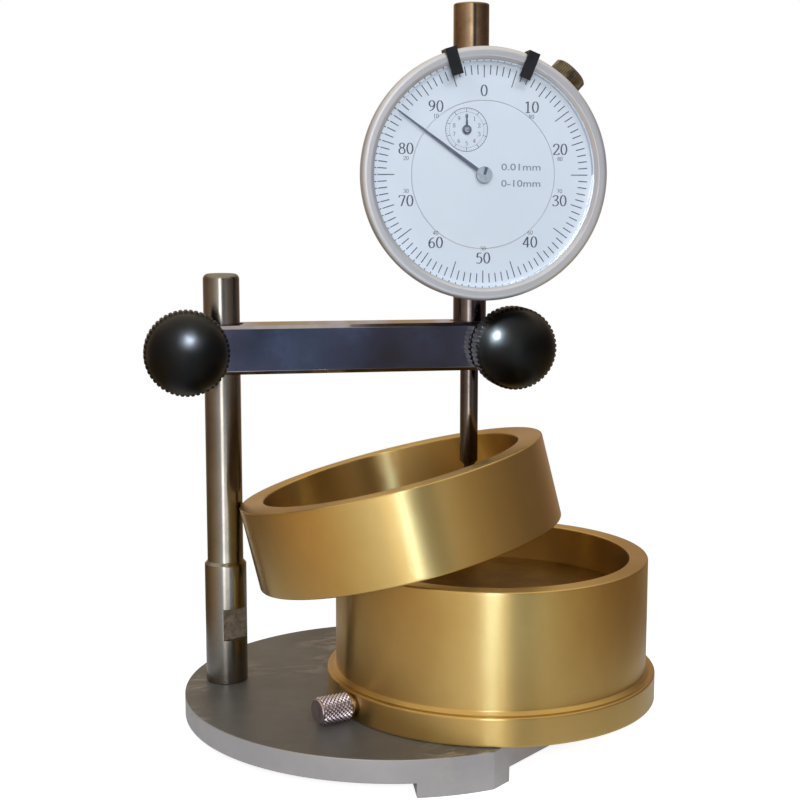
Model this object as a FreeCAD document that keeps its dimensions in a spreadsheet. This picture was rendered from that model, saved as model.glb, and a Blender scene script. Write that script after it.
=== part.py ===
import FreeCAD, Part, Sketcher
import math
import os

# Soil shrinkage limit tester: a round base with a turned column, a clamp arm that
# carries a 0 to 10 mm dial gauge, and a brass sample ring lying on a brass vessel.
# Millimetres, +Z up, -Y towards the person who reads the dial, +X along the arm.
# The origin is the middle of the outline on the table, on the feet's undersides.

doc = FreeCAD.newDocument("shrinkage_limit_tester")
sheet = doc.addObject("Spreadsheet::Sheet", "Sizes")

# Driving sizes: alias, value, what it is.
SIZES = [
    ("base_diameter", 100.0, "round base plate"),
    ("base_thick", 5.3, "plate between the feet and its top"),
    ("foot_drop", 3.2, "height of the feet under the plate"),
    ("foot_width", 8.0, "radial width of a foot"),
    ("foot_span", 26.0, "angle that a foot takes of the rim"),
    ("foot_angle", 81.0, "front foot, from +X towards the front"),
    ("foot_count", 3, "feet round the rim"),
    ("flat_distance", 44.9, "base centre to the flat on the rim"),
    ("flat_angle", 48.2, "flat's normal, from +X towards the front"),
    ("edge_break", 0.4, "small bevel on turned and milled edges"),
    ("column_x", -39.5, "column axis from the base centre"),
    ("column_y", 10.0, "column axis from the base centre"),
    ("column_diameter", 8.6, "upper rod of the column"),
    ("column_tall", 98.7, "column above the base top"),
    ("shank_diameter", 10.0, "thick lower part of the column"),
    ("shank_tall", 29.8, "thick part above the base top"),
    ("shoulder_bevel", 0.8, "bevel on the column's shoulder"),
    ("column_round", 1.3, "rounded top edge of the column"),
    ("tail_diameter", 6.0, "column tail in the base"),
    ("wrench_size", 7.6, "across the column's two flats"),
    ("wrench_tall", 7.6, "height of the flats"),
    ("wrench_low", 10.9, "lower end of the flats above the base top"),
    ("wrench_angle", -61.0, "direction that one flat faces"),
    ("arm_height", 81.0, "arm's middle above the base top"),
    ("arm_tall", 11.6, "arm section, vertical"),
    ("arm_depth", 12.0, "arm section, front to back"),
    ("arm_reach", 60.0, "column axis to gauge stem axis"),
    ("arm_overhang", 14.2, "bore axis to the arm's end"),
    ("arm_bevel", 0.8, "bevels along the arm"),
    ("slit_wide", 1.2, "clamp slits"),
    ("clamp_offset", 8.6, "clamp screw outboard of its bore"),
    ("bush_wall", 0.7, "split liner bushes"),
    ("running_gap", 0.04, "radial gap of a running fit"),
    ("seat_gap", 0.1, "gap at a seat between moving pieces"),
    ("knob_diameter", 19.7, "over the flutes"),
    ("knob_rim", 6.6, "depth of the fluted rim"),
    ("knob_dome_diameter", 18.5, "foot of the dome"),
    ("knob_dome_rise", 8.0, "dome in front of the rim"),
    ("knob_neck_diameter", 10.0, "neck against the arm"),
    ("knob_neck", 0.8, "depth of the neck"),
    ("flute_count", 50, "flutes round a knob"),
    ("flute_diameter", 0.9, "one flute"),
    ("stud_diameter", 5.0, "clamp stud"),
    ("stud_long", 17.5, "clamp stud"),
    ("gauge_height", 121.6, "dial centre above the base top"),
    ("stem_diameter", 8.0, "gauge stem"),
    ("stem_inside", 1.4, "stem's upper end above the case's underside"),
    ("spindle_diameter", 4.4, "gauge plunger"),
    ("plunger_travel", 10.0, "gauge range"),
    ("tip_height", 50.0, "contact tip above the base top"),
    ("contact_long", 7.0, "screwed contact point"),
    ("contact_tip_diameter", 2.4, "narrow end of the contact point"),
    ("stop_diameter", 6.0, "ring that stops the spindle's drop"),
    ("spindle_over", 2.5, "spindle's top above the case's boss"),
    ("case_inset", 3.95, "bezel's outside to the gauge case, radial"),
    ("case_wall", 1.4, "case in front of its shoulder"),
    ("case_shoulder", 2.4, "step that seats the rear movement plate"),
    ("case_front", 12.1, "case front ahead of the stem axis"),
    ("case_back", 6.0, "case back behind the stem axis"),
    ("cover_thick", 1.4, "back cover"),
    ("cover_bevel", 1.0, "back cover's edge"),
    ("cover_screw_in", 2.7, "cover screws inside the case's edge"),
    ("boss_diameter", 11.0, "bosses of the case on the stem axis"),
    ("boss_out", 0.9, "bosses above the case's round wall"),
    ("cap_diameter", 8.5, "dust cap on top"),
    ("cap_tall", 14.4, "dust cap above the boss"),
    ("cap_wall", 1.2, "dust cap"),
    ("cap_waist", 0.5, "groove near the cap's foot"),
    ("guide_diameter", 6.0, "upper guide bush"),
    ("bezel_diameter", 57.9, "bezel, widest"),
    ("skirt_inset", 0.85, "bezel's outside to its part behind the wide band, radial"),
    ("bezel_back", 11.1, "bezel's rear edge ahead of the stem axis"),
    ("bezel_band_back", 13.9, "rear edge of the wide band"),
    ("bezel_front", 17.1, "bezel's front edge"),
    ("bezel_round", 1.2, "round of the front edge"),
    ("bezel_slope", 0.8, "bevel from the front edge in to the window"),
    ("dial_inset", 3.05, "bezel's outside to the dial ring, radial"),
    ("crystal_inset", 3.0, "bezel's outside to the clear window, radial"),
    ("crystal_thick", 1.2, "clear window"),
    ("crystal_gap", 1.8, "printed face to the window"),
    ("dial_stand", 1.3, "dial pieces in front of the front plate"),
    ("dial_thick", 0.5, "dial pieces"),
    ("dial_ring_wide", 9.0, "turning dial ring, radial"),
    ("dial_foot_diameter", 1.6, "feet of the dial's middle"),
    ("plate_thick", 1.0, "movement plates"),
    ("rear_plate_back", 3.4, "rear plate's back ahead of the stem axis"),
    ("front_plate_back", 10.7, "front plate's back ahead of the stem axis"),
    ("front_plate_gap", 0.6, "front movement plate to the case's wall"),
    ("pillar_diameter", 3.0, "pillars between the plates"),
    ("pillar_in", 2.4, "pillars inside the front plate's edge"),
    ("pillar_angle", 32.3, "pillars above and below three and nine o'clock"),
    ("screw_diameter", 1.6, "small screws"),
    ("screw_head_diameter", 2.9, "small screws"),
    ("screw_head_thick", 0.8, "small screws"),
    ("screw_long", 3.6, "small screws under the head"),
    ("wheel_teeth", 100, "drive and take-up wheels"),
    ("pinion_teeth", 10, "centre pinion"),
    ("rack_pinion_teeth", 16, "pinion on the rack"),
    ("wheel_gap", 2.44, "wheels' tips to the case's wall"),
    ("rack_pitch", 0.625, "rack teeth on the spindle"),
    ("rack_flat", 1.5, "rack tooth tips from the spindle axis"),
    ("rack_low", -23.5, "rack's lower end from the dial centre"),
    ("rack_high", -8.0, "rack's upper end from the dial centre"),
    ("wheel_thick", 0.5, "wheels"),
    ("drive_wheel_back", 5.4, "drive wheel ahead of the stem axis"),
    ("takeup_wheel_back", 7.0, "take-up wheel ahead of the stem axis"),
    ("arbor_diameter", 1.2, "arbors"),
    ("hub_diameter", 3.0, "wheel hubs"),
    ("rack_pinion_wide", 2.8, "rack pinion's face"),
    ("takeup_angle", 111.6, "take-up arbor, anticlockwise from three o'clock"),
    ("hand_gap", 1.3, "main hand's tip to the dial's edge"),
    ("hand_angle", 305.7, "main hand, clockwise from twelve"),
    ("small_hand_long", 3.6, "small hand"),
    ("hand_thick", 0.2, "hands"),
    ("hand_hub_diameter", 3.8, "main hand's hub"),
    ("pin_diameter", 1.6, "guide pin"),
    ("pin_height", -5.0, "guide pin from the dial centre"),
    ("rail_near", 6.4, "guide rail from the spindle axis"),
    ("rail_far", 9.4, "guide rail from the spindle axis"),
    ("rail_depth", 2.4, "guide rail behind the stem axis"),
    ("spring_diameter", 3.0, "return spring, outside"),
    ("spring_wire", 0.4, "return spring"),
    ("spring_turns", 12, "return spring"),
    ("hairspring_turns", 5, "hairspring"),
    ("hairspring_diameter", 9.0, "hairspring, outside"),
    ("hairspring_wire", 0.16, "hairspring strip"),
    ("lock_angle", 43.4, "bezel lock screw, clockwise from twelve"),
    ("lock_ahead", 5.5, "lock screw axis ahead of the stem axis"),
    ("lock_head_diameter", 8.6, "lock screw head"),
    ("lock_reach", 8.7, "lock screw's outer face beyond the case"),
    ("lock_head_thick", 4.2, "lock screw head"),
    ("lock_shank_diameter", 3.0, "lock screw shank"),
    ("clip_left_angle", -17.0, "left limit clip, clockwise from twelve"),
    ("clip_right_angle", 21.7, "right limit clip, clockwise from twelve"),
    ("clip_wide", 2.7, "limit clips"),
    ("clip_long", 6.3, "limit clip over the dial"),
    ("clip_thick", 0.6, "limit clips"),
    ("vessel_ahead", 1.4, "vessel axis beyond the gauge's stem axis"),
    ("vessel_y", -8.5, "vessel axis from the base centre"),
    ("vessel_diameter", 73.3, "vessel wall, outside"),
    ("vessel_bore", 64.6, "vessel wall, inside"),
    ("vessel_tall", 33.4, "vessel"),
    ("flange_diameter", 77.5, "vessel flange"),
    ("flange_tall", 6.6, "vessel flange"),
    ("flange_root", 0.8, "cone between flange and wall"),
    ("floor_thick", 8.0, "vessel floor, deep enough for the screw"),
    ("plate_drop", 9.0, "loose plate's top under the rim"),
    ("plate_tall", 2.0, "loose plate in the vessel"),
    ("ledge_wide", 2.2, "ledge under the loose plate"),
    ("thumb_angle", 203.0, "thumbscrew, anticlockwise from +X"),
    ("thumb_height", 3.4, "thumbscrew axis above the base top"),
    ("thumb_diameter", 6.4, "thumbscrew head"),
    ("thumb_long", 8.2, "thumbscrew head"),
    ("thumb_gap", 0.5, "between the thumbscrew head and the flange"),
    ("thumb_shank_diameter", 4.0, "thumbscrew shank"),
    ("thumb_shank_long", 6.0, "thumbscrew shank in the flange"),
    ("ring_bore", 61.8, "sample ring, inside"),
    ("ring_diameter", 73.3, "sample ring, outside"),
    ("ring_tall", 20.0, "sample ring"),
    ("ring_left", 18.3, "middle of the ring's lower face left of the vessel axis"),
    ("ring_behind", 5.5, "middle of the ring's lower face behind the vessel axis"),
    ("ring_tilt", 14.0, "lean of the sample ring"),
]

for row, (alias, value, note) in enumerate(SIZES, 1):
    sheet.set("A%d" % row, alias)
    sheet.set("B%d" % row, str(value))
    sheet.set("C%d" % row, note)
    sheet.setAlias("B%d" % row, alias)
doc.recompute()

ALIASES = sorted((row[0] for row in SIZES), key=len, reverse=True)


def formula(text):
    """Turn a formula in plain size names into one that names the sheet's cells."""
    parts = []
    word = ""
    for mark in text + " ":
        if mark.isalnum() or mark == "_":
            word += mark
            continue
        parts.append("Sizes." + word if word in ALIASES else word)
        parts.append(mark)
        word = ""
    return "".join(parts).strip()


def size(text):
    """The number that a formula in size names gives now."""
    return float(sheet.evalExpression(formula(text)))


def bind(thing, prop, text):
    thing.setExpression(prop, formula(text))


# Places that several pieces share, as formulas in size names.
VESSEL_OUT = "(column_x + arm_reach + vessel_ahead)"
ORIGIN_X = "((%s + flange_diameter / 2 + column_x - clamp_offset - knob_diameter / 2) / 2)" % VESSEL_OUT
BASE_TOP = "(foot_drop + base_thick)"
COLUMN_X = "(column_x - %s)" % ORIGIN_X
STEM_X = "(column_x + arm_reach - %s)" % ORIGIN_X
VESSEL_X = "(%s - %s)" % (VESSEL_OUT, ORIGIN_X)
DIAL_Z = "(%s + gauge_height)" % BASE_TOP
ARM_Z = "(%s + arm_height)" % BASE_TOP
ARM_BOTTOM = "(%s - arm_tall / 2)" % ARM_Z
CASE_R = "(bezel_diameter / 2 - case_inset)"
CASE_INSIDE = "(bezel_diameter / 2 - case_inset - case_wall)"
SHOULDER_R = "(bezel_diameter / 2 - case_inset - case_wall - case_shoulder)"
BOSS_TOP = "(bezel_diameter / 2 - case_inset + boss_out)"
STEM_TOP = "(0 - bezel_diameter / 2 + case_inset + stem_inside)"
SKIRT_R = "(bezel_diameter / 2 - skirt_inset)"
DIAL_R = "(bezel_diameter / 2 - dial_inset)"
CRYSTAL_R = "(bezel_diameter / 2 - crystal_inset)"
DIAL_CENTRE_R = "(bezel_diameter / 2 - dial_inset - dial_ring_wide)"
FRONT_PLATE_R = "(bezel_diameter / 2 - case_inset - case_wall - front_plate_gap)"
DIAL_FRONT = "(front_plate_back + plate_thick + dial_stand + dial_thick)"
DIAL_SHELF = "(front_plate_back + plate_thick + dial_stand)"
CRYSTAL_BACK = "(front_plate_back + plate_thick + dial_stand + dial_thick + crystal_gap)"
GEAR_MODULE = "((%s - wheel_gap) / (wheel_teeth + pinion_teeth / 2 + 0.8))" % CASE_INSIDE
PILLAR_R = "(%s - pillar_in)" % FRONT_PLATE_R

# Turns a piece drawn in the dial's own frame, with Z towards the reader, upright.
FACE = FreeCAD.Rotation(FreeCAD.Vector(1, 0, 0), 90)
FINISHED = []


def place(piece, x, y, z, rotation=None):
    """Put a finished piece at formulas for its origin, turned as asked."""
    piece.Placement = FreeCAD.Placement(FreeCAD.Vector(), rotation or FreeCAD.Rotation())
    for axis, text in (("x", x), ("y", y), ("z", z)):
        bind(piece, "Placement.Base." + axis, text)
    FINISHED.append(piece)
    return piece


def place_on_dial(piece, spin=0.0):
    """Put a piece drawn in the dial's frame in place, spun clockwise by spin degrees."""
    turn = FACE.multiply(FreeCAD.Rotation(FreeCAD.Vector(0, 0, 1), -spin))
    return place(piece, STEM_X, "column_y", DIAL_Z, turn)


def place_on_stem(piece, z):
    """Put a piece on the gauge's stem axis, z above the dial's centre."""
    return place(piece, STEM_X, "column_y", "%s + %s" % (DIAL_Z, z))


def new_body(label):
    body = doc.addObject("PartDesign::Body", label)
    body.Label = label
    return body


def origin_item(body, role):
    return [item for item in body.Origin.OriginFeatures if item.Role == role][0]


def draw_outline(sketch, outline):
    """Draw a closed outline of (x, y) formulas, tied point by point to the sheet.

    A third entry "dome" makes the next side an arc whose centre is on the upright axis.
    """
    points = [FreeCAD.Vector(size(p[0]), size(p[1]), 0) for p in outline]
    for index, entry in enumerate(outline):
        start = points[index]
        end = points[(index + 1) % len(points)]
        if len(entry) > 2:
            half = math.hypot(end.x - start.x, end.y - start.y)
            middle = (start + end) * 0.5 + FreeCAD.Vector(end.y - start.y, start.x - end.x, 0) * (0.2 / half)
            sketch.addGeometry(Part.Arc(start, middle, end), False)
            sketch.addConstraint(Sketcher.Constraint("PointOnObject", index, 3, -2))
        else:
            sketch.addGeometry(Part.LineSegment(start, end), False)
    for index, entry in enumerate(outline):
        following = (index + 1) % len(outline)
        sketch.addConstraint(Sketcher.Constraint("Coincident", index, 2, following, 1))
        for kind, axis, text, place_now in (
            ("DistanceX", -2, entry[0], points[index].x),
            ("DistanceY", -1, entry[1], points[index].y),
        ):
            if abs(place_now) < 1e-9:
                sketch.addConstraint(Sketcher.Constraint("PointOnObject", index, 1, axis))
                continue
            number = sketch.addConstraint(Sketcher.Constraint(kind, -1, 1, index, 1, place_now))
            sketch.setExpression("Constraints[%d]" % number, formula(text))


def sketch_in(body, name, plane, outline):
    sketch = body.newObject("Sketcher::SketchObject", name)
    sketch.AttachmentSupport = [(origin_item(body, plane), "")]
    sketch.MapMode = "FlatFace"
    draw_outline(sketch, outline)
    return sketch


def turned(label, outline):
    """A piece turned about its own Z axis from (radius, height) formulas."""
    body = new_body(label)
    sketch = sketch_in(body, label + "_profile", "XZ_Plane", outline)
    spun = body.newObject("PartDesign::Revolution", label + "_turned")
    spun.Profile = sketch
    spun.ReferenceAxis = (sketch, ["V_Axis"])
    spun.Angle = 360
    body.Tip = spun
    doc.recompute()
    return body


def tube(label, outer, inner, low, high):
    """A plain turned tube or, with an inner radius of 0, a rod."""
    return turned(label, [(inner, low), (outer, low), (outer, high), (inner, high)])


def feature(body, kind, name, sizes, at, rotation=None):
    """Add or cut a box or cylinder, whose name says which, inside a body."""
    item = body.newObject("PartDesign::" + kind, name)
    for prop, text in sizes.items():
        bind(item, prop, text)
    item.Placement = FreeCAD.Placement(FreeCAD.Vector(), rotation or FreeCAD.Rotation())
    for axis, text in zip("xyz", at):
        bind(item, "Placement.Base." + axis, text)
    body.Tip = item
    return item


def cut_round(body, name, radius, long, at, rotation=None):
    return feature(body, "SubtractiveCylinder", name, {"Radius": radius, "Height": long}, at, rotation)


def add_round(body, name, radius, long, at, rotation=None):
    return feature(body, "AdditiveCylinder", name, {"Radius": radius, "Height": long}, at, rotation)


def cut_box(body, name, box, at, rotation=None):
    sizes = {"Length": box[0], "Width": box[1], "Height": box[2]}
    return feature(body, "SubtractiveBox", name, sizes, at, rotation)


def add_box(body, name, box, at, rotation=None):
    sizes = {"Length": box[0], "Width": box[1], "Height": box[2]}
    return feature(body, "AdditiveBox", name, sizes, at, rotation)


def repeat_round(body, name, original, count, axis="Z_Axis"):
    """Repeat a feature round one of its body's own axes."""
    doc.recompute()
    pattern = body.newObject("PartDesign::PolarPattern", name)
    pattern.Originals = [original]
    pattern.Axis = (origin_item(body, axis), [""])
    pattern.Angle = 360
    bind(pattern, "Occurrences", count)
    body.Tip = pattern
    return pattern


def computed(label, shape):
    """A piece whose shape comes from a formula that features can't give."""
    piece = doc.addObject("Part::Feature", label)
    piece.Label = label
    piece.Shape = shape
    return piece


ABOUT_X = FreeCAD.Vector(1, 0, 0)
ABOUT_Y = FreeCAD.Vector(0, 1, 0)
ABOUT_Z = FreeCAD.Vector(0, 0, 1)
TO_FRONT = FreeCAD.Rotation(ABOUT_X, 90)
TO_BACK = FreeCAD.Rotation(ABOUT_X, -90)
TO_RIGHT = FreeCAD.Rotation(ABOUT_Y, 90)


# Base: a disc on three rim feet, with a flat across its front right edge.
def make_base():
    body = new_body("base_plate")
    radius = size("base_diameter / 2")
    half_span = math.radians(size("foot_span") / 2)
    middle = -math.radians(size("foot_angle"))
    disc = body.newObject("Sketcher::SketchObject", "plate_round")
    disc.AttachmentSupport = [(origin_item(body, "XY_Plane"), "")]
    disc.MapMode = "FlatFace"
    disc.addGeometry(Part.Circle(FreeCAD.Vector(), FreeCAD.Vector(0, 0, 1), radius), False)
    disc.addConstraint(Sketcher.Constraint("Coincident", 0, 3, -1, 1))
    number = disc.addConstraint(Sketcher.Constraint("Radius", 0, radius))
    disc.setExpression("Constraints[%d]" % number, formula("base_diameter / 2"))
    disc.setExpression("AttachmentOffset.Base.z", formula("foot_drop"))
    plate = body.newObject("PartDesign::Pad", "plate")
    plate.Profile = disc
    bind(plate, "Length", "base_thick")
    body.Tip = plate
    doc.recompute()

    foot_outline = body.newObject("Sketcher::SketchObject", "foot_outline")
    foot_outline.AttachmentSupport = [(origin_item(body, "XY_Plane"), "")]
    foot_outline.MapMode = "FlatFace"
    inner = radius - size("foot_width")
    start = middle - half_span
    end = middle + half_span
    outer_arc = Part.ArcOfCircle(Part.Circle(FreeCAD.Vector(), FreeCAD.Vector(0, 0, 1), radius), start, end)
    inner_arc = Part.ArcOfCircle(Part.Circle(FreeCAD.Vector(), FreeCAD.Vector(0, 0, 1), inner), start, end)
    foot_outline.addGeometry(outer_arc, False)
    foot_outline.addGeometry(inner_arc, False)
    for angle in (start, end):
        direction = FreeCAD.Vector(math.cos(angle), math.sin(angle), 0)
        foot_outline.addGeometry(Part.LineSegment(direction * inner, direction * radius), False)
    foot_outline.addConstraint(Sketcher.Constraint("Coincident", 2, 2, 0, 1))
    foot_outline.addConstraint(Sketcher.Constraint("Coincident", 2, 1, 1, 1))
    foot_outline.addConstraint(Sketcher.Constraint("Coincident", 3, 2, 0, 2))
    foot_outline.addConstraint(Sketcher.Constraint("Coincident", 3, 1, 1, 2))
    foot = body.newObject("PartDesign::Pad", "foot")
    foot.Profile = foot_outline
    bind(foot, "Length", "foot_drop")
    repeat_round(body, "feet", foot, "foot_count")

    reach = "base_diameter"
    turn = FreeCAD.Rotation(ABOUT_Z, -size("flat_angle"))
    across = turn.multVec(FreeCAD.Vector(size("flat_distance"), -size("base_diameter") / 2, -1))
    cut_box(body, "rim_flat", (reach, reach, "foot_drop + base_thick + 2"),
            ("%.9f" % across.x, "%.9f" % across.y, "%.9f" % across.z), turn)
    cut_round(body, "column_hole", "tail_diameter / 2", "foot_drop + base_thick",
              ("column_x", "column_y", "0"))
    place(body, "0 - " + ORIGIN_X, "0", "0")


def make_column():
    column = turned("column", [
        ("0", "0"),
        ("tail_diameter / 2", "0"),
        ("tail_diameter / 2", "base_thick"),
        ("shank_diameter / 2", "base_thick"),
        ("shank_diameter / 2", "base_thick + shank_tall - shoulder_bevel"),
        ("column_diameter / 2", "base_thick + shank_tall"),
        ("column_diameter / 2", "base_thick + column_tall - column_round"),
        ("column_diameter / 2 - 0.293 * column_round", "base_thick + column_tall - 0.293 * column_round"),
        ("column_diameter / 2 - column_round", "base_thick + column_tall"),
        ("0", "base_thick + column_tall"),
    ])
    turn = FreeCAD.Rotation(ABOUT_Z, size("wrench_angle"))
    for side, name in ((1, "near_flat"), (-1, "far_flat")):
        corner = turn.multVec(FreeCAD.Vector(
            side * size("wrench_size") / 2 - (0 if side > 0 else size("shank_diameter")),
            -size("shank_diameter"), 0))
        cut_box(column, name, ("shank_diameter", "2 * shank_diameter", "wrench_tall"),
                ("%.9f" % corner.x, "%.9f" % corner.y, "base_thick + wrench_low"), turn)
    place(column, COLUMN_X, "column_y", "foot_drop")


# Arm: a bevelled bar with a split pinch clamp at each end.
def make_arm():
    half_deep = "arm_depth / 2"
    half_tall = "arm_tall / 2"
    body = new_body("clamp_arm")
    section = [
        ("0 - %s + arm_bevel" % half_deep, "0 - " + half_tall),
        ("%s - arm_bevel" % half_deep, "0 - " + half_tall),
        (half_deep, "0 - %s + arm_bevel" % half_tall),
        (half_deep, "%s - arm_bevel" % half_tall),
        ("%s - arm_bevel" % half_deep, half_tall),
        ("0 - %s + arm_bevel" % half_deep, half_tall),
        ("0 - " + half_deep, "%s - arm_bevel" % half_tall),
        ("0 - " + half_deep, "0 - %s + arm_bevel" % half_tall),
    ]
    sketch = sketch_in(body, "arm_section", "YZ_Plane", section)
    bar = body.newObject("PartDesign::Pad", "arm_bar")
    bar.Profile = sketch
    bar.Midplane = True
    bind(bar, "Length", "arm_reach + 2 * arm_overhang")
    body.Tip = bar
    doc.recompute()
    for side, name in (("0 - arm_reach / 2", "column"), ("arm_reach / 2", "stem")):
        sign = -1 if name == "column" else 1
        bore_r = "%s_diameter / 2 + bush_wall + 2 * running_gap" % name
        cut_round(body, name + "_bore", bore_r, "arm_tall + 2", (side, "0", "0 - arm_tall / 2 - 1"))
        slit_start = side if sign > 0 else "0 - arm_reach / 2 - arm_overhang - 1"
        cut_box(body, name + "_slit", ("arm_overhang + 1", "slit_wide", "arm_tall + 2"),
                (slit_start, "0 - slit_wide / 2", "0 - arm_tall / 2 - 1"))
        clamp_x = "%s %s clamp_offset" % (side, "+" if sign > 0 else "-")
        cut_round(body, name + "_clamp_hole", "stud_diameter / 2 + running_gap", "arm_depth + 2",
                  (clamp_x, "arm_depth / 2 + 1", "0"), TO_FRONT)
    place(body, "%s + arm_reach / 2" % COLUMN_X, "column_y", ARM_Z)


def make_bush(label, rod, x):
    """A split liner bush between the arm's bore and a round rod."""
    inner = "%s / 2 + running_gap" % rod
    outer = "%s / 2 + running_gap + bush_wall" % rod
    bush = tube(label, outer, inner, "0", "arm_tall")
    sign = "0 - column_diameter" if label == "column_bush" else "0"
    cut_box(bush, label + "_slit", ("column_diameter", "slit_wide", "arm_tall + 2"),
            (sign, "0 - slit_wide / 2", "0 - 1"))
    place(bush, x, "column_y", ARM_BOTTOM)


def make_knob(label, x):
    """A fluted, domed clamp knob and its stud, turned about the front-to-back axis."""
    rim_back = "knob_neck"
    rim_front = "(knob_neck + knob_rim)"
    knob = turned(label, [
        ("stud_diameter / 2", "0"),
        ("knob_neck_diameter / 2", "0"),
        ("knob_neck_diameter / 2", rim_back),
        ("knob_diameter / 2 - edge_break", rim_back),
        ("knob_diameter / 2", rim_back + " + edge_break"),
        ("knob_diameter / 2", rim_front + " - edge_break"),
        ("knob_dome_diameter / 2", rim_front, "dome"),
        ("0", rim_front + " + knob_dome_rise"),
        ("0", rim_front),
        ("stud_diameter / 2", rim_front),
    ])
    flute = cut_round(knob, label + "_flute", "flute_diameter / 2", "knob_rim + 2 * edge_break",
                      ("knob_diameter / 2 + flute_diameter / 8", "0", "knob_neck - edge_break"))
    repeat_round(knob, label + "_flutes", flute, "flute_count")
    front = "column_y - arm_depth / 2 - seat_gap"
    place(knob, x, front, ARM_Z, FACE)
    stud = tube(label + "_stud", "stud_diameter / 2", "0", "0", "stud_long")
    place(stud, x, front + " - " + rim_front + " + stud_long", ARM_Z, FACE)


# Gauge: outer pieces. Heights here run from the stem axis towards the reader.
def make_case():
    outer = CASE_R
    shoulder = "rear_plate_back"
    case = turned("gauge_case", [
        (SHOULDER_R, "0 - case_back"),
        (outer, "0 - case_back"),
        (outer, "case_front"),
        (CASE_INSIDE, "case_front"),
        (CASE_INSIDE, shoulder),
        (SHOULDER_R, shoulder),
    ])
    wall_inside = CASE_INSIDE
    add_round(case, "top_boss", "boss_diameter / 2", "%s - %s" % (BOSS_TOP, wall_inside),
              ("0", BOSS_TOP, "0"), TO_FRONT)
    add_round(case, "stem_boss", "boss_diameter / 2", "%s - %s" % (BOSS_TOP, wall_inside),
              ("0", "0 - " + wall_inside, "0"), TO_FRONT)
    turn = FreeCAD.Rotation(ABOUT_Z, -size("lock_angle"))
    lock_turn = turn.multiply(TO_BACK)
    out = turn.multVec(FreeCAD.Vector(0, 1, 0))
    inside = size(CASE_R + " - case_wall / 2")
    boss_at = ("%.9f" % (out.x * inside), "%.9f" % (out.y * inside), "lock_ahead")
    lock_boss = "lock_reach - lock_head_thick - 3 * seat_gap + case_wall / 2"
    add_round(case, "lock_boss", "lock_shank_diameter", lock_boss, boss_at, lock_turn)
    hole_in = size(CASE_INSIDE + " - 1")
    hole_at = ("%.9f" % (out.x * hole_in), "%.9f" % (out.y * hole_in), "lock_ahead")
    cut_round(case, "lock_hole", "lock_shank_diameter / 2 + running_gap", "boss_diameter", hole_at, lock_turn)
    cut_round(case, "guide_hole", "guide_diameter / 2", "boss_diameter",
              ("0", BOSS_TOP + " + 1", "0"), TO_FRONT)
    cut_round(case, "stem_hole", "stem_diameter / 2", "boss_diameter",
              ("0", "0 - %s + 4" % CASE_R, "0"), TO_FRONT)
    for index, (x, y) in enumerate(cover_screw_places()):
        cut_round(case, "cover_thread_%d" % index, "screw_diameter / 2", "screw_long",
                  (x, y, "0 - case_back"))
    place_on_dial(case)


def cover_screw_places():
    """Four places in the case's thick rear wall."""
    middle = size(CASE_R + " - cover_screw_in")
    angles = [math.radians(45 + 90 * quarter) for quarter in range(4)]
    return [("%.9f" % (middle * math.cos(a)), "%.9f" % (middle * math.sin(a))) for a in angles]


def screw_set(label, places, under_head, towards_reader):
    """One node of equal small screws with their heads on a plate face."""
    head_r = size("screw_head_diameter / 2")
    thick = size("screw_head_thick")
    shank = size("screw_long - seat_gap")
    sign = 1 if towards_reader else -1
    axis = FreeCAD.Vector(0, 0, sign)
    solids = []
    for x, y in places:
        foot = FreeCAD.Vector(size(x), size(y), size(under_head))
        head = Part.makeCylinder(head_r, thick, foot, axis)
        slot_at = foot + axis * (thick * 0.6) - FreeCAD.Vector(head_r, 0.2, 0)
        if sign < 0:
            slot_at.z -= thick
        slot = Part.makeBox(2 * head_r, 0.4, thick, slot_at)
        rod = Part.makeCylinder(size("screw_diameter / 2"), shank, foot, axis * -1)
        solids.append(head.cut(slot).fuse(rod).removeSplitter())
    place_on_dial(computed(label, Part.makeCompound(solids)))


def make_cover():
    cover = turned("back_cover", [
        ("0", "0 - case_back - cover_thick"),
        (CASE_R + " - cover_bevel", "0 - case_back - cover_thick"),
        (CASE_R, "0 - case_back - cover_thick + cover_bevel"),
        (CASE_R, "0 - case_back"),
        ("0", "0 - case_back"),
    ])
    for index, (x, y) in enumerate(cover_screw_places()):
        cut_round(cover, "cover_hole_%d" % index, "screw_diameter / 2 + running_gap", "cover_thick + 1",
                  (x, y, "0 - case_back - cover_thick - 0.5"))
    place_on_dial(cover)
    places = cover_screw_places()
    screw_set("cover_screws", places, "0 - case_back - cover_thick", False)


def make_stem():
    foot = "(%s - %s)" % (ARM_BOTTOM, DIAL_Z)
    stem = tube("gauge_stem", "stem_diameter / 2", "spindle_diameter / 2 + running_gap",
                "0", "%s - %s" % (STEM_TOP, foot))
    place_on_stem(stem, foot)
    length = "(%s - %s + 1)" % (BOSS_TOP, SHOULDER_R)
    guide = tube("top_bush", "guide_diameter / 2", "spindle_diameter / 2 + running_gap", "0", length)
    place_on_stem(guide, "%s - %s" % (BOSS_TOP, length))
    top = "cap_tall"
    inside = "cap_diameter / 2 - cap_wall"
    cap = turned("dust_cap", [
        (inside, "0"),
        ("cap_diameter / 2 - cap_waist", "0"),
        ("cap_diameter / 2 - cap_waist", "cap_wall"),
        ("cap_diameter / 2", "cap_wall + cap_waist"),
        ("cap_diameter / 2", top + " - edge_break"),
        ("cap_diameter / 2 - edge_break", top),
        ("0", top),
        ("0", top + " - cap_wall"),
        (inside, top + " - cap_wall"),
    ])
    place_on_stem(cap, BOSS_TOP)


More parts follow.
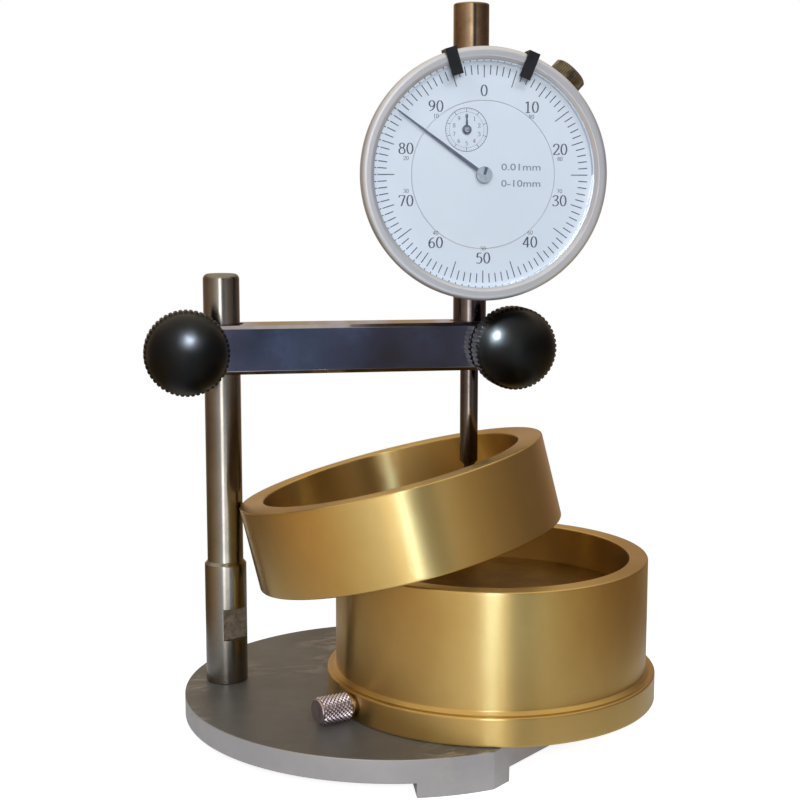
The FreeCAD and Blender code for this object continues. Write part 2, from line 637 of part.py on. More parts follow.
def make_bezel():
    bore = "(%s + seat_gap)" % CASE_R
    shelf = DIAL_SHELF
    window = CRYSTAL_R
    bezel = turned("bezel", [
        (bore, "bezel_back"),
        (SKIRT_R, "bezel_back"),
        (SKIRT_R, "bezel_band_back"),
        ("bezel_diameter / 2 - edge_break", "bezel_band_back"),
        ("bezel_diameter / 2", "bezel_band_back + edge_break"),
        ("bezel_diameter / 2", "bezel_front - bezel_round"),
        ("bezel_diameter / 2 - 0.134 * bezel_round", "bezel_front - 0.5 * bezel_round"),
        ("bezel_diameter / 2 - 0.5 * bezel_round", "bezel_front - 0.134 * bezel_round"),
        ("bezel_diameter / 2 - bezel_round", "bezel_front"),
        (window + " + bezel_slope", "bezel_front"),
        (window, "bezel_front - bezel_slope"),
        (window, CRYSTAL_BACK),
        (DIAL_R, CRYSTAL_BACK),
        (DIAL_R, shelf),
        (bore, shelf),
    ])
    place_on_dial(bezel)
    crystal = turned("crystal", [
        ("0", CRYSTAL_BACK),
        (window, CRYSTAL_BACK),
        (window, CRYSTAL_BACK + " + crystal_thick - edge_break"),
        (window + " - edge_break", CRYSTAL_BACK + " + crystal_thick"),
        ("0", CRYSTAL_BACK + " + crystal_thick"),
    ])
    place_on_dial(crystal)
    ring = tube("dial_ring", DIAL_R, DIAL_CENTRE_R + " + seat_gap", shelf, DIAL_FRONT)
    place_on_dial(ring)


def make_dial_centre():
    centre = tube("dial_centre", DIAL_CENTRE_R, "0", DIAL_SHELF, DIAL_FRONT)
    for side in (-1, 1):
        add_round(centre, "dial_foot_%d" % (side + 2), "dial_foot_diameter / 2",
                  "dial_stand",
                  ("%d * 2 * %s / 3" % (side, DIAL_CENTRE_R), "0", "front_plate_back + plate_thick"))
    cut_round(centre, "centre_hole", "arbor_diameter / 2 + seat_gap", "dial_thick + 1",
              ("0", "0", DIAL_SHELF + " - 0.5"))
    x, y = takeup_place()
    cut_round(centre, "small_hand_hole", "arbor_diameter / 2 + seat_gap", "dial_thick + 1",
              (x, y, DIAL_SHELF + " - 0.5"))
    place_on_dial(centre)


def make_clip(label, angle):
    """A sprung limit clip, drawn at twelve and spun round the bezel."""
    body = new_body(label)
    outside = "(bezel_diameter / 2 + seat_gap + clip_thick)"
    over = "(bezel_front + seat_gap)"
    hook = "(bezel_band_back - seat_gap)"
    outline = [
        ("%s - clip_long" % outside, over),
        ("%s - clip_thick" % outside, over),
        ("%s - clip_thick" % outside, hook),
        (SKIRT_R + " + seat_gap", hook),
        (SKIRT_R + " + seat_gap", "%s - clip_thick" % hook),
        (outside, "%s - clip_thick" % hook),
        (outside, "%s + clip_thick" % over),
        ("%s - clip_long" % outside, "%s + clip_thick / 2" % over),
    ]
    sketch = sketch_in(body, label + "_side", "YZ_Plane", outline)
    strip = body.newObject("PartDesign::Pad", label + "_strip")
    strip.Profile = sketch
    strip.Midplane = True
    bind(strip, "Length", "clip_wide")
    body.Tip = strip
    doc.recompute()
    place_on_dial(body, size(angle))


def make_lock_screw():
    start_r = CASE_INSIDE
    shank = "(lock_reach + case_wall - lock_head_thick)"
    screw = turned("bezel_lock_screw", [
        ("0", "0"),
        ("lock_shank_diameter / 2", "0"),
        ("lock_shank_diameter / 2", shank),
        ("lock_head_diameter / 2", shank),
        ("lock_head_diameter / 2", shank + " + lock_head_thick - edge_break"),
        ("lock_head_diameter / 2 - edge_break", shank + " + lock_head_thick"),
        ("0", shank + " + lock_head_thick"),
    ])
    angle = math.radians(size("lock_angle"))
    start = size(start_r)
    turn = FreeCAD.Rotation(ABOUT_Y, size("lock_angle"))
    place(screw, "%s + %.9f" % (STEM_X, start * math.sin(angle)), "column_y - lock_ahead",
          "%s + %.9f" % (DIAL_Z, start * math.cos(angle)), turn)


# Gauge: gears. A tooth is a slim trapezium, so that the mesh runs with backlash.
def gear_shape(teeth, module, first_tooth, low, thick):
    pitch_r = teeth * module / 2
    root_r = pitch_r - 1.15 * module
    tip_r = pitch_r + 0.8 * module
    step = 2 * math.pi / teeth
    points = []
    for tooth in range(teeth):
        middle = math.radians(first_tooth) + tooth * step
        for radius, share in ((root_r, -0.25), (tip_r, -0.10), (tip_r, 0.10), (root_r, 0.25)):
            angle = middle + share * step
            points.append(FreeCAD.Vector(radius * math.cos(angle), radius * math.sin(angle), low))
    face = Part.Face(Part.makePolygon(points + points[:1]))
    return face.extrude(FreeCAD.Vector(0, 0, thick))


def rod_shape(radius, low, high):
    return Part.makeCylinder(radius, high - low, FreeCAD.Vector(0, 0, low))


def rack_pitch_line():
    return size("rack_flat") - 0.8 * size("rack_pitch") / math.pi


def drive_place():
    """Arbor of the drive wheel, beside the rack and one mesh away from the centre."""
    pinion_r = size("rack_pinion_teeth * rack_pitch") / (2 * math.pi)
    x = -(rack_pitch_line() + pinion_r)
    mesh = size("(wheel_teeth + pinion_teeth) / 2 * " + GEAR_MODULE)
    return x, -math.sqrt(mesh * mesh - x * x)


def takeup_place():
    """Arbor of the take-up wheel, as texts for a feature's place."""
    mesh = size("(wheel_teeth + pinion_teeth) / 2 * " + GEAR_MODULE)
    angle = math.radians(size("takeup_angle"))
    return "%.9f" % (mesh * math.cos(angle)), "%.9f" % (mesh * math.sin(angle))


def place_at_arbor(piece, x, y):
    return place(piece, "%s + %.9f" % (STEM_X, x), "column_y", "%s + %.9f" % (DIAL_Z, y), FACE)


def make_movement_gears():
    module = size(GEAR_MODULE)
    wheel = int(size("wheel_teeth"))
    pinion = int(size("pinion_teeth"))
    rack_pinion = int(size("rack_pinion_teeth"))
    rack_module = size("rack_pitch") / math.pi
    arbor = size("arbor_diameter / 2")
    hub = size("hub_diameter / 2")
    thick = size("wheel_thick")
    rear = size("rear_plate_back + seat_gap")
    front = size("front_plate_back + plate_thick")
    x, y = drive_place()
    to_drive = math.degrees(math.atan2(y, x))
    drive_low = size("drive_wheel_back")
    takeup_low = size("takeup_wheel_back")
    half_face = size("rack_pinion_wide / 2")
    bridge_back = size(BRIDGE_BACK)

    drive = gear_shape(wheel, module, to_drive + 180, drive_low, thick)
    drive = drive.cut(rod_shape(arbor, drive_low - 1, drive_low + 1 + thick))
    place_at_arbor(computed("drive_wheel", drive), x, y)
    small = gear_shape(rack_pinion, rack_module, 0.0, -half_face, 2 * half_face)
    arbor_rod = rod_shape(arbor, bridge_back + size("seat_gap"), front)
    hub_rod = rod_shape(hub, size("rear_plate_back + plate_thick + seat_gap"), drive_low)
    place_at_arbor(computed("rack_pinion", small.fuse([arbor_rod, hub_rod])), x, y)

    half_pitch = 180.0 / pinion
    centre = gear_shape(pinion, module, to_drive + half_pitch, drive_low - thick, takeup_low - drive_low + 3 * thick)
    centre_rod = rod_shape(arbor, rear, size(DIAL_FRONT + " + 2 * dial_thick"))
    place_at_arbor(computed("centre_pinion", centre.fuse(centre_rod)), 0.0, 0.0)

    mesh_x, mesh_y = takeup_place()
    mesh_x = float(mesh_x)
    mesh_y = float(mesh_y)
    to_takeup = size("takeup_angle")
    gap_step = 360.0 / pinion
    offset = (to_drive - to_takeup) % gap_step
    if offset > gap_step / 2:
        offset -= gap_step
    first = to_takeup + 180 - offset * pinion / wheel
    takeup = gear_shape(wheel, module, first, takeup_low, thick)
    takeup = takeup.cut(rod_shape(arbor, takeup_low - 1, takeup_low + 1 + thick))
    place_at_arbor(computed("takeup_wheel", takeup), mesh_x, mesh_y)
    takeup_rod = rod_shape(arbor, rear, size(DIAL_FRONT + " + dial_thick"))
    collar = rod_shape(hub, takeup_low - hub, takeup_low)
    place_at_arbor(computed("takeup_arbor", takeup_rod.fuse(collar)), mesh_x, mesh_y)


def blade(length, tail, wide, low, thick):
    """A flat pointer along +Y with a short tail and a sharp tip."""
    outline = [(-wide / 2, -tail), (wide / 2, -tail), (wide / 2, 0), (0.08, length), (-0.08, length), (-wide / 2, 0)]
    points = [FreeCAD.Vector(x, y, low) for x, y in outline]
    return Part.Face(Part.makePolygon(points + points[:1])).extrude(FreeCAD.Vector(0, 0, thick))


def make_hands():
    thick = size("hand_thick")
    arbor = size("arbor_diameter / 2")
    low = size(DIAL_FRONT + " + 0.7")
    hub_r = size("hand_hub_diameter / 2")
    main = blade(size(DIAL_R + " - hand_gap"), hub_r, 0.9, low, thick)
    hub = rod_shape(hub_r, low - thick, low + 2 * thick)
    main = main.fuse(hub).cut(rod_shape(arbor, low - 1, low + 2 * thick - 0.1))
    place_on_dial(computed("main_hand", main), size("hand_angle"))
    low = size(DIAL_FRONT + " + 0.15")
    small = blade(size("small_hand_long"), size("small_hand_long / 4"), 0.7, low, thick)
    hub = rod_shape(arbor + 0.5, low, low + thick)
    small = small.fuse(hub).cut(rod_shape(arbor, low - 1, low + 1))
    mesh_x, mesh_y = takeup_place()
    place_at_arbor(computed("small_hand", small), float(mesh_x), float(mesh_y))


# Gauge: the two plates, their pillars, and the parts that guide the spindle.
BRIDGE_BACK = "(0 - rack_pinion_wide / 2 - 2 * plate_thick)"


def pillar_places():
    """Texts for four places on one ring, level in pairs."""
    ring = size(PILLAR_R)
    angle = math.radians(size("pillar_angle"))
    across = ring * math.cos(angle)
    up = ring * math.sin(angle)
    return [("%.9f" % (i * across), "%.9f" % (j * up)) for i in (-1, 1) for j in (-1, 1)]


def arbor_holes(body, low, high, with_drive):
    """Bearing holes for the arbors that a plate carries."""
    drive_x, drive_y = drive_place()
    places = [("0", "0"), takeup_place()]
    if with_drive:
        places.append(("%.9f" % drive_x, "%.9f" % drive_y))
    for index, (x, y) in enumerate(places):
        cut_round(body, "%s_bearing_%d" % (body.Label, index), "arbor_diameter / 2 + running_gap",
                  "%s - %s + 1" % (high, low), (x, y, low + " - 0.5"))


def make_plates():
    rear_low = "rear_plate_back"
    rear_high = "(rear_plate_back + plate_thick)"
    rear = tube("rear_plate", CASE_INSIDE + " - seat_gap", "0", rear_low, rear_high)
    arbor_holes(rear, rear_low, rear_high, True)
    place_on_dial(rear)
    front_low = "front_plate_back"
    front_high = "(front_plate_back + plate_thick)"
    front = tube("front_plate", FRONT_PLATE_R, "0", front_low, front_high)
    arbor_holes(front, front_low, front_high, True)
    for index, (x, y) in enumerate(pillar_places()):
        cut_round(front, "pillar_hole_%d" % index, "screw_diameter / 2 + running_gap", "plate_thick + 1",
                  (x, y, front_low + " - 0.5"))
    place_on_dial(front)
    outer = size("pillar_diameter / 2")
    bore = size("screw_diameter / 2")
    low = size(rear_high)
    high = size(front_low)
    pillars = []
    for x, y in pillar_places():
        at = FreeCAD.Vector(size(x), size(y), low)
        pillar = Part.makeCylinder(outer, high - low, at)
        pillars.append(pillar.cut(Part.makeCylinder(bore, high - low, at)))
    place_on_dial(computed("plate_pillars", Part.makeCompound(pillars)))
    screw_set("plate_screws", pillar_places(), front_high, True)

    x, y = drive_place()
    half = "1.5 * arbor_diameter"
    bridge = new_body("arbor_bridge")
    left = "%.9f - 5 * arbor_diameter" % x
    add_box(bridge, "bridge_bar", ("6.3 * arbor_diameter", "2 * %s" % half, "plate_thick"),
            (left, "%.9f - %s" % (y, half), BRIDGE_BACK))
    add_box(bridge, "bridge_leg", ("1.5 * arbor_diameter", "2 * %s" % half, "rear_plate_back - " + BRIDGE_BACK),
            (left, "%.9f - %s" % (y, half), BRIDGE_BACK))
    cut_round(bridge, "bridge_bearing", "arbor_diameter / 2 + running_gap", "plate_thick + 1",
              ("%.9f" % x, "%.9f" % y, BRIDGE_BACK + " - 0.5"))
    place_on_dial(bridge)

    rail = new_body("guide_rail")
    rail_long = "(plunger_travel + 4 * pin_diameter)"
    add_box(rail, "rail_block", ("rail_far - rail_near", rail_long, "rail_depth + rear_plate_back"),
            ("rail_near", "pin_height - 2 * pin_diameter", "0 - rail_depth"))
    cut_box(rail, "rail_slot", ("rail_far - rail_near", "plunger_travel + 2 * pin_diameter",
                                "pin_diameter + 2 * running_gap"),
            ("rail_near - 1", "pin_height - pin_diameter", "0 - pin_diameter / 2 - running_gap"))
    place_on_dial(rail)


def spiral_strip(turns, inner, outer, wide, low, tall):
    """A flat spiral of strip, as one thin wall on a polyline."""
    steps = int(turns * 24)
    near = []
    far = []
    for step in range(steps + 1):
        angle = 2 * math.pi * turns * step / steps
        radius = inner + (outer - inner) * step / steps
        direction = FreeCAD.Vector(math.cos(angle), math.sin(angle), 0)
        near.append(direction * (radius - wide / 2) + FreeCAD.Vector(0, 0, low))
        far.append(direction * (radius + wide / 2) + FreeCAD.Vector(0, 0, low))
    points = near + far[::-1]
    return Part.Face(Part.makePolygon(points + points[:1])).extrude(FreeCAD.Vector(0, 0, tall))


def make_springs():
    wire = size("spring_wire")
    low = size("0 - %s + 2 * spring_wire" % SHOULDER_R)
    high = size("pin_height - pin_diameter / 2 - spring_wire")
    coil_r = size("spring_diameter / 2") - wire / 2
    turns = size("spring_turns")
    helix = Part.makeHelix((high - low - wire) / turns, high - low - wire, coil_r)
    helix.translate(FreeCAD.Vector(0, 0, wire / 2))
    start = FreeCAD.Vector(coil_r, 0, wire / 2)
    circle = Part.Wire(Part.Circle(start, FreeCAD.Vector(0, 1, 0), wire / 2).toShape())
    coil = Part.Wire(helix).makePipeShell([circle], True, True)
    spring = computed("return_spring", coil)
    across = "(rail_near + spindle_diameter / 2) / 2"
    place(spring, "%s + %s" % (STEM_X, across), "column_y", "%s + %.9f" % (DIAL_Z, low))

    inner = size("arbor_diameter / 2 + 4 * hairspring_wire")
    strip = spiral_strip(size("hairspring_turns"), inner, size("hairspring_diameter / 2"),
                         size("hairspring_wire"), size("takeup_wheel_back + 3 * wheel_thick"), 0.4)
    mesh_x, mesh_y = takeup_place()
    mesh_x = float(mesh_x)
    mesh_y = float(mesh_y)
    stud_at = FreeCAD.Vector(size("hairspring_diameter / 2"), 0, 0)
    stud_low = size("takeup_wheel_back + 3 * wheel_thick")
    stud = Part.makeCylinder(0.4, size("front_plate_back") - stud_low, stud_at + FreeCAD.Vector(0, 0, stud_low))
    place_at_arbor(computed("hairspring", strip.fuse(stud)), mesh_x, mesh_y)


def make_plunger():
    body_low = "(tip_height + contact_long - gauge_height)"
    long = size("%s + spindle_over - %s" % (BOSS_TOP, body_low))
    low = size(body_low)
    rod = rod_shape(size("spindle_diameter / 2"), 0, long)
    pitch = size("rack_pitch")
    module = pitch / math.pi
    tip = size("rack_flat")
    root = tip - 1.95 * module
    mesh_height = drive_place()[1]
    rack_low = size("rack_low")
    rack_high = size("rack_high")
    wide = size("spindle_diameter")
    flat = Part.makeBox(wide, wide, rack_high - rack_low, FreeCAD.Vector(-tip - wide, -wide / 2, rack_low - low))
    rod = rod.cut(flat)
    first = math.ceil((rack_low + pitch / 2 - mesh_height) / pitch)
    last = math.floor((rack_high - pitch / 2 - mesh_height) / pitch)
    notches = []
    for index in range(first, last + 1):
        height = mesh_height + index * pitch - low
        shape = [(-tip - 0.1, 0.40), (-tip - 0.1, -0.40), (-root, -0.25), (-root, 0.25)]
        points = [FreeCAD.Vector(x, -wide / 2, height + share * pitch) for x, share in shape]
        face = Part.Face(Part.makePolygon(points + points[:1]))
        notches.append(face.extrude(FreeCAD.Vector(0, wide, 0)))
    rod = rod.cut(Part.makeCompound(notches))
    pin_hole_at = FreeCAD.Vector(0, 0, size("pin_height") - low)
    pin_r = size("pin_diameter / 2")
    rod = rod.cut(Part.makeCylinder(pin_r, wide, pin_hole_at, ABOUT_X))
    place_on_stem(computed("spindle", rod), body_low)

    pin = tube("guide_pin", "pin_diameter / 2", "0", "0", "rail_far - 1.5")
    place(pin, STEM_X, "column_y", "%s + pin_height" % DIAL_Z, TO_RIGHT)
    stop = tube("stop_ring", "stop_diameter / 2", "spindle_diameter / 2", "0", "2 * spring_wire")
    place_on_stem(stop, STEM_TOP + " + seat_gap")
    contact = turned("contact_point", [
        ("0", "0"),
        ("contact_tip_diameter / 2 - edge_break", "0"),
        ("contact_tip_diameter / 2", "edge_break"),
        ("contact_tip_diameter / 2", "contact_tip_diameter / 2"),
        ("spindle_diameter / 2", "contact_tip_diameter"),
        ("spindle_diameter / 2", "contact_long"),
        ("0", "contact_long"),
    ])
    place_on_stem(contact, "tip_height - gauge_height")


# Vessel: a flanged brass cup, its loose plate and the screw in its flange.
def make_vessel():
    wall = "vessel_diameter / 2"
    ledge = "vessel_tall - plate_drop - plate_tall"
    vessel = turned("vessel", [
        ("0", "0"),
        ("flange_diameter / 2 - edge_break", "0"),
        ("flange_diameter / 2", "edge_break"),
        ("flange_diameter / 2", "flange_tall - edge_break"),
        ("flange_diameter / 2 - edge_break", "flange_tall"),
        (wall + " + flange_root", "flange_tall"),
        (wall, "flange_tall + flange_root"),
        (wall, "vessel_tall - edge_break"),
        (wall + " - edge_break", "vessel_tall"),
        ("vessel_bore / 2 + edge_break", "vessel_tall"),
        ("vessel_bore / 2", "vessel_tall - edge_break"),
        ("vessel_bore / 2", ledge),
        ("vessel_bore / 2 - ledge_wide", ledge),
        ("vessel_bore / 2 - ledge_wide", "floor_thick"),
        ("0", "floor_thick"),
    ])
    turn = FreeCAD.Rotation(ABOUT_Z, size("thumb_angle"))
    out = turn.multVec(ABOUT_X)
    inner = size("flange_diameter / 2 - thumb_shank_long - seat_gap")
    cut_round(vessel, "thumb_hole", "thumb_shank_diameter / 2 + running_gap", "thumb_shank_long + 2",
              ("%.9f" % (out.x * inner), "%.9f" % (out.y * inner), "thumb_height"), turn.multiply(TO_RIGHT))
    place(vessel, VESSEL_X, "vessel_y", BASE_TOP)

    start = size("flange_diameter / 2 - thumb_shank_long")
    shank_long = "(thumb_shank_long + thumb_gap)"
    thumb = turned("vessel_thumbscrew", [
        ("0", "0"),
        ("thumb_shank_diameter / 2", "0"),
        ("thumb_shank_diameter / 2", shank_long),
        ("thumb_diameter / 2 - edge_break", shank_long),
        ("thumb_diameter / 2", shank_long + " + edge_break"),
        ("thumb_diameter / 2", shank_long + " + thumb_long - edge_break"),
        ("thumb_diameter / 2 - edge_break", shank_long + " + thumb_long"),
        ("0", shank_long + " + thumb_long"),
    ])
    place(thumb, "%s + %.9f" % (VESSEL_X, out.x * start), "vessel_y + %.9f" % (out.y * start),
          "%s + thumb_height" % BASE_TOP, turn.multiply(TO_RIGHT))


def make_vessel_plate():
    """The loose flat plate that lies on the vessel's ledge."""
    edge = "vessel_bore / 2 - seat_gap"
    plate = turned("vessel_plate", [
        ("0", "0"),
        (edge + " - edge_break", "0"),
        (edge, "edge_break"),
        (edge, "plate_tall - edge_break"),
        (edge + " - edge_break", "plate_tall"),
        ("0", "plate_tall"),
    ])
    place(plate, VESSEL_X, "vessel_y", "%s + vessel_tall - plate_drop - plate_tall" % BASE_TOP)


def ring_rest_height():
    """Height of the ring's lower face above the rim when its bore edge meets the vessel.

    Seen from above, the bore edge of the leaning ring crosses the vessel's outer edge at
    the cosine that solves the quadratic below, and there the ring lies on the rim.
    """
    bore = size("ring_bore / 2")
    rim = size("vessel_diameter / 2")
    apart = math.hypot(size("ring_left"), size("ring_behind"))
    tilt = math.radians(size("ring_tilt"))
    square = (bore * math.sin(tilt)) ** 2
    linear = 2 * apart * bore * math.cos(tilt)
    rest = rim ** 2 - bore ** 2 - apart ** 2
    cosine = (-linear + math.sqrt(linear ** 2 - 4 * square * rest)) / (2 * square)
    return size("seat_gap") - bore * cosine * math.sin(tilt)


def make_ring():
    inner = "ring_bore / 2"
    outer = "ring_diameter / 2"
    ring = turned("sample_ring", [
        (inner + " + edge_break", "0"),
        (outer + " - edge_break", "0"),
        (outer, "edge_break"),
        (outer, "ring_tall - edge_break"),
        (outer + " - edge_break", "ring_tall"),
        (inner + " + edge_break", "ring_tall"),
        (inner, "ring_tall - edge_break"),
        (inner, "edge_break"),
    ])
    uphill = math.degrees(math.atan2(-size("ring_behind"), size("ring_left")))
    lean = FreeCAD.Rotation(ABOUT_Y, -size("ring_tilt"))
    turn = FreeCAD.Rotation(ABOUT_Z, uphill).multiply(lean)
    place(ring, VESSEL_X + " - ring_left", "vessel_y + ring_behind",
          "%s + vessel_tall + %.9f" % (BASE_TOP, ring_rest_height()), turn)


make_base()
make_column()
make_arm()
make_bush("column_bush", "column_diameter", COLUMN_X)
make_bush("stem_bush", "stem_diameter", STEM_X)
make_knob("column_knob", "%s - clamp_offset" % COLUMN_X)
make_knob("gauge_knob", "%s + clamp_offset" % STEM_X)
make_case()
make_cover()
make_stem()
make_bezel()
make_dial_centre()
make_clip("left_limit_clip", "clip_left_angle")
make_clip("right_limit_clip", "clip_right_angle")
make_lock_screw()
make_movement_gears()
make_hands()
make_plates()
make_springs()
make_plunger()
make_vessel()
make_vessel_plate()
make_ring()
doc.recompute()

for item in doc.Objects:
    if "Invalid" in item.State or "Error" in item.State:
        raise RuntimeError("failed object: " + item.Label)
for piece in FINISHED:
    if piece.Shape.isNull() or not piece.Shape.isValid():
        raise RuntimeError("bad shape: " + piece.Label)

os.makedirs("parts", exist_ok=True)
for piece in FINISHED:
    piece.Shape.exportStep("parts/%s.step" % piece.Label)
    box = piece.Shape.BoundBox
    print("%-20s %9.1f mm3  x %.1f..%.1f  y %.1f..%.1f  z %.1f..%.1f" % (
        piece.Label, piece.Shape.Volume, box.XMin, box.XMax, box.YMin, box.YMax, box.ZMin, box.ZMax))
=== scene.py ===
"""Looks of a soil shrinkage limit tester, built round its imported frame.

A round steel base carries a turned column, a chromed clamp arm and a dial gauge. A brass
sample ring leans on a brass vessel. Sizes are in millimetres, +Z is up, -Y is towards the
person who reads the dial, and every mesh is placed in metres in the frame of the part.
"""
import logging
import math
from collections.abc import Callable, Iterable, Sequence
from dataclasses import dataclass, field
from enum import Enum

import bmesh
import bpy
from mathutils import Matrix, Vector


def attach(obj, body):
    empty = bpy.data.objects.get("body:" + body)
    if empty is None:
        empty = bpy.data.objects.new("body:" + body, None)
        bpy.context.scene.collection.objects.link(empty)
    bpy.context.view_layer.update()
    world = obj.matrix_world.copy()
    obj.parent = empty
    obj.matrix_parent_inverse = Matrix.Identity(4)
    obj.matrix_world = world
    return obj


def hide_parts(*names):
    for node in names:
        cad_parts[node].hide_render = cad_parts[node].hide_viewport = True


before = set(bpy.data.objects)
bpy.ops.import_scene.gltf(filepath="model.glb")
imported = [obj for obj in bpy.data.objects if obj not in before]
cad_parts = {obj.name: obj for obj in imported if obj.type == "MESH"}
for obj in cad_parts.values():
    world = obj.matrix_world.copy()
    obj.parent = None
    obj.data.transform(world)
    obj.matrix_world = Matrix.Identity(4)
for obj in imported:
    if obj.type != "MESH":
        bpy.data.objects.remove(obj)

LOG = logging.getLogger("tester")
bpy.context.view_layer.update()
MM = 0.001
# Millimetres in a centimetre, which is the unit of the pieces' UV maps.
CM = 10.0
UV_NAME = "turning"

Colour = tuple[float, float, float, float]
Outline = Sequence[tuple[float, ...]]
Shaper = Callable[[Vector], Vector]
Draft = bmesh.types.BMesh
Piece = bpy.types.Object
Tree = bpy.types.NodeTree
Node = bpy.types.Node
Socket = bpy.types.NodeSocket


def linear(code: str) -> Colour:
    """Turn an sRGB hex colour into linear red, green, blue and alpha.

    Args:
        code: a # and six hex digits.

    Returns:
        The linear colour, opaque.
    """
    parts = [int(code[place:place + 2], 16) / 255 for place in (1, 3, 5)]
    red, green, blue = (v / 12.92 if v <= 0.04045 else ((v + 0.055) / 1.055) ** 2.4 for v in parts)
    return red, green, blue, 1.0


def add(tree: Tree, kind: str, inputs: dict | None = None, **settings: object) -> Node:
    """Add a node with its settings, and with its inputs as values, colours or links.

    Args:
        tree: the tree that gets the node.
        kind: the node's type name, less its ShaderNode where it starts with that.
        inputs: what goes in, by input name or number. It is a value, a hex colour, an output
            socket, or a node, which stands for its first output in use.
        settings: properties of the node.

    Returns:
        The new node.
    """
    node = tree.nodes.new(kind if "Node" in kind else "ShaderNode" + kind)
    for name, value in settings.items():
        setattr(node, name, value)
    for key, value in (inputs or {}).items():
        if isinstance(value, Node):
            value = next(output for output in value.outputs if output.enabled)
        if isinstance(value, Socket):
            tree.links.new(value, node.inputs[key])
        else:
            node.inputs[key].default_value = linear(value) if isinstance(value, str) else value
    return node


class Grain(Enum):
    """Which way the fine marks of a metal's finish run."""

    ROUND = "round the axis, from a lathe tool or a grinding wheel"
    DRAWN = "along the piece's X"
    EVEN = "the same every way"


@dataclass(frozen=True)
class Finish:
    """A finish that a piece can wear."""

    name: str

    def material(self) -> bpy.types.Material:
        """Give the finish's material, made once.

        Returns:
            The material.
        """
        made = bpy.data.materials.get(self.name)
        if made is None:
            made = bpy.data.materials.new(self.name)
            made.use_nodes = True
            made.node_tree.nodes.clear()
            shader = self.build(made.node_tree)
            add(made.node_tree, "OutputMaterial", {"Surface": shader})
        return made

    def build(self, tree: Tree) -> Node:
        """Fill the material's tree and give its shader."""
        raise NotImplementedError


@dataclass(frozen=True)
class Metal(Finish):
    """A bare or plated metal with tool marks, uneven tone and uneven gloss."""

    colour: str
    shade: str
    roughness: tuple[float, float]
    grain: Grain
    mark: float
    depth: float
    mottle: float
    patch: tuple[float, float] = (0.35, 0.7)
    anisotropy: float = 0.0
    metallic: float = 1.0
    smudge: float = 0.0
    line_tone: float = 0.12

    # How many times as long as wide a mark is.
    ROUND_LENGTH = 60
    DRAWN_LENGTH = 30
    SMUDGE_TONE = "#B9B6B0"
    # How much smoother a full smudge is.
    SMUDGE_GLOSS = 0.2

    def marks(self, tree: Tree) -> Node:
        """Give the fine marks as a noise stretched along the grain.

        Args:
            tree: the material's tree.

        Returns:
            The noise.
        """
        if self.grain is Grain.ROUND:
            coords = add(tree, "UVMap", uv_map=UV_NAME)
            fine = CM / self.mark
            stretch = (fine, fine / self.ROUND_LENGTH, 1.0)
        else:
            coords = add(tree, "TexCoord").outputs["Object"]
            fine = 1 / (self.mark * MM)
            longer = self.DRAWN_LENGTH if self.grain is Grain.DRAWN else 1
            stretch = (fine / longer, fine, fine)
        place = add(tree, "Mapping", {"Vector": coords, "Scale": stretch})
        return add(tree, "TexNoise", {"Vector": place, "Scale": 1.0, "Detail": 3.0})

    def build(self, tree: Tree) -> Node:
        """Fill the tree: marks drive gloss and bump, patches drive the tone.

        Args:
            tree: the material's tree.

        Returns:
            The shader.
        """
        marks = self.marks(tree)
        spots = add(tree, "TexCoord").outputs["Object"]
        patches = add(tree, "TexNoise", {
            "Vector": spots, "Scale": 1 / (self.mottle * MM), "Detail": 5.0, "Roughness": 0.62})
        pale, dark = self.patch
        tone = add(tree, "MapRange", {"Value": patches, "From Min": pale, "From Max": dark})
        lines = add(tree, "Math", {0: marks, 1: self.line_tone}, operation="MULTIPLY")
        mixed = add(tree, "Math", {0: tone, 1: lines}, operation="ADD", use_clamp=True)
        colour = add(tree, "Mix", {"Factor": mixed, 6: self.colour, 7: self.shade}, data_type="RGBA")
        dull = add(tree, "Math", {0: marks, 1: tone}, operation="ADD")
        low, high = self.roughness
        rough = add(tree, "MapRange", {
            "Value": dull, "From Min": 0.4, "From Max": 1.5, "To Min": low, "To Max": high})
        if self.smudge:
            colour, rough = self.smudges(tree, spots, colour, rough)
        bump = add(tree, "Bump", {"Height": marks, "Distance": self.depth * MM, "Strength": 1.0})
        inputs = {"Base Color": colour, "Metallic": self.metallic, "Roughness": rough, "Normal": bump}
        if self.anisotropy:
            inputs["Anisotropic"] = self.anisotropy
            inputs["Tangent"] = add(tree, "Tangent", direction_type="UV_MAP", uv_map=UV_NAME)
        return add(tree, "BsdfPrincipled", inputs)

    def smudges(self, tree: Tree, spots: Socket, colour: Node, rough: Node) -> tuple[Node, Node]:
        """Lay faint pale rubs from handling over a finish.

        Args:
            tree: the material's tree.
            spots: object coordinates.
            colour: the colour so far.
            rough: the roughness so far.

        Returns:
            The colour and the roughness with the rubs.
        """
        # Rubs about 9 mm long and half as wide, kept in spots about 26 mm across.
        place = add(tree, "Mapping", {
            "Vector": spots, "Rotation": (0.0, 0.0, 0.5), "Scale": (1.0, 2.2, 1.0)})
        wide = add(tree, "TexNoise", {
            "Vector": place, "Scale": 110.0, "Detail": 6.0, "Roughness": 0.7, "Distortion": 0.6})
        where = add(tree, "TexNoise", {"Vector": spots, "Scale": 38.0, "Detail": 1.0})
        kept = add(tree, "MapRange", {"Value": where, "From Min": 0.48, "From Max": 0.62})
        thin = add(tree, "MapRange", {
            "Value": wide, "From Min": 0.5, "From Max": 0.66, "To Min": 0.0, "To Max": self.smudge})
        mask = add(tree, "Math", {0: thin, 1: kept}, operation="MULTIPLY")
        pale = add(tree, "Mix", {"Factor": mask, 6: colour, 7: self.SMUDGE_TONE}, data_type="RGBA")
        smooth = add(tree, "Math", {0: mask, 1: self.SMUDGE_GLOSS}, operation="MULTIPLY")
        return pale, add(tree, "Math", {0: rough, 1: smooth}, operation="SUBTRACT")


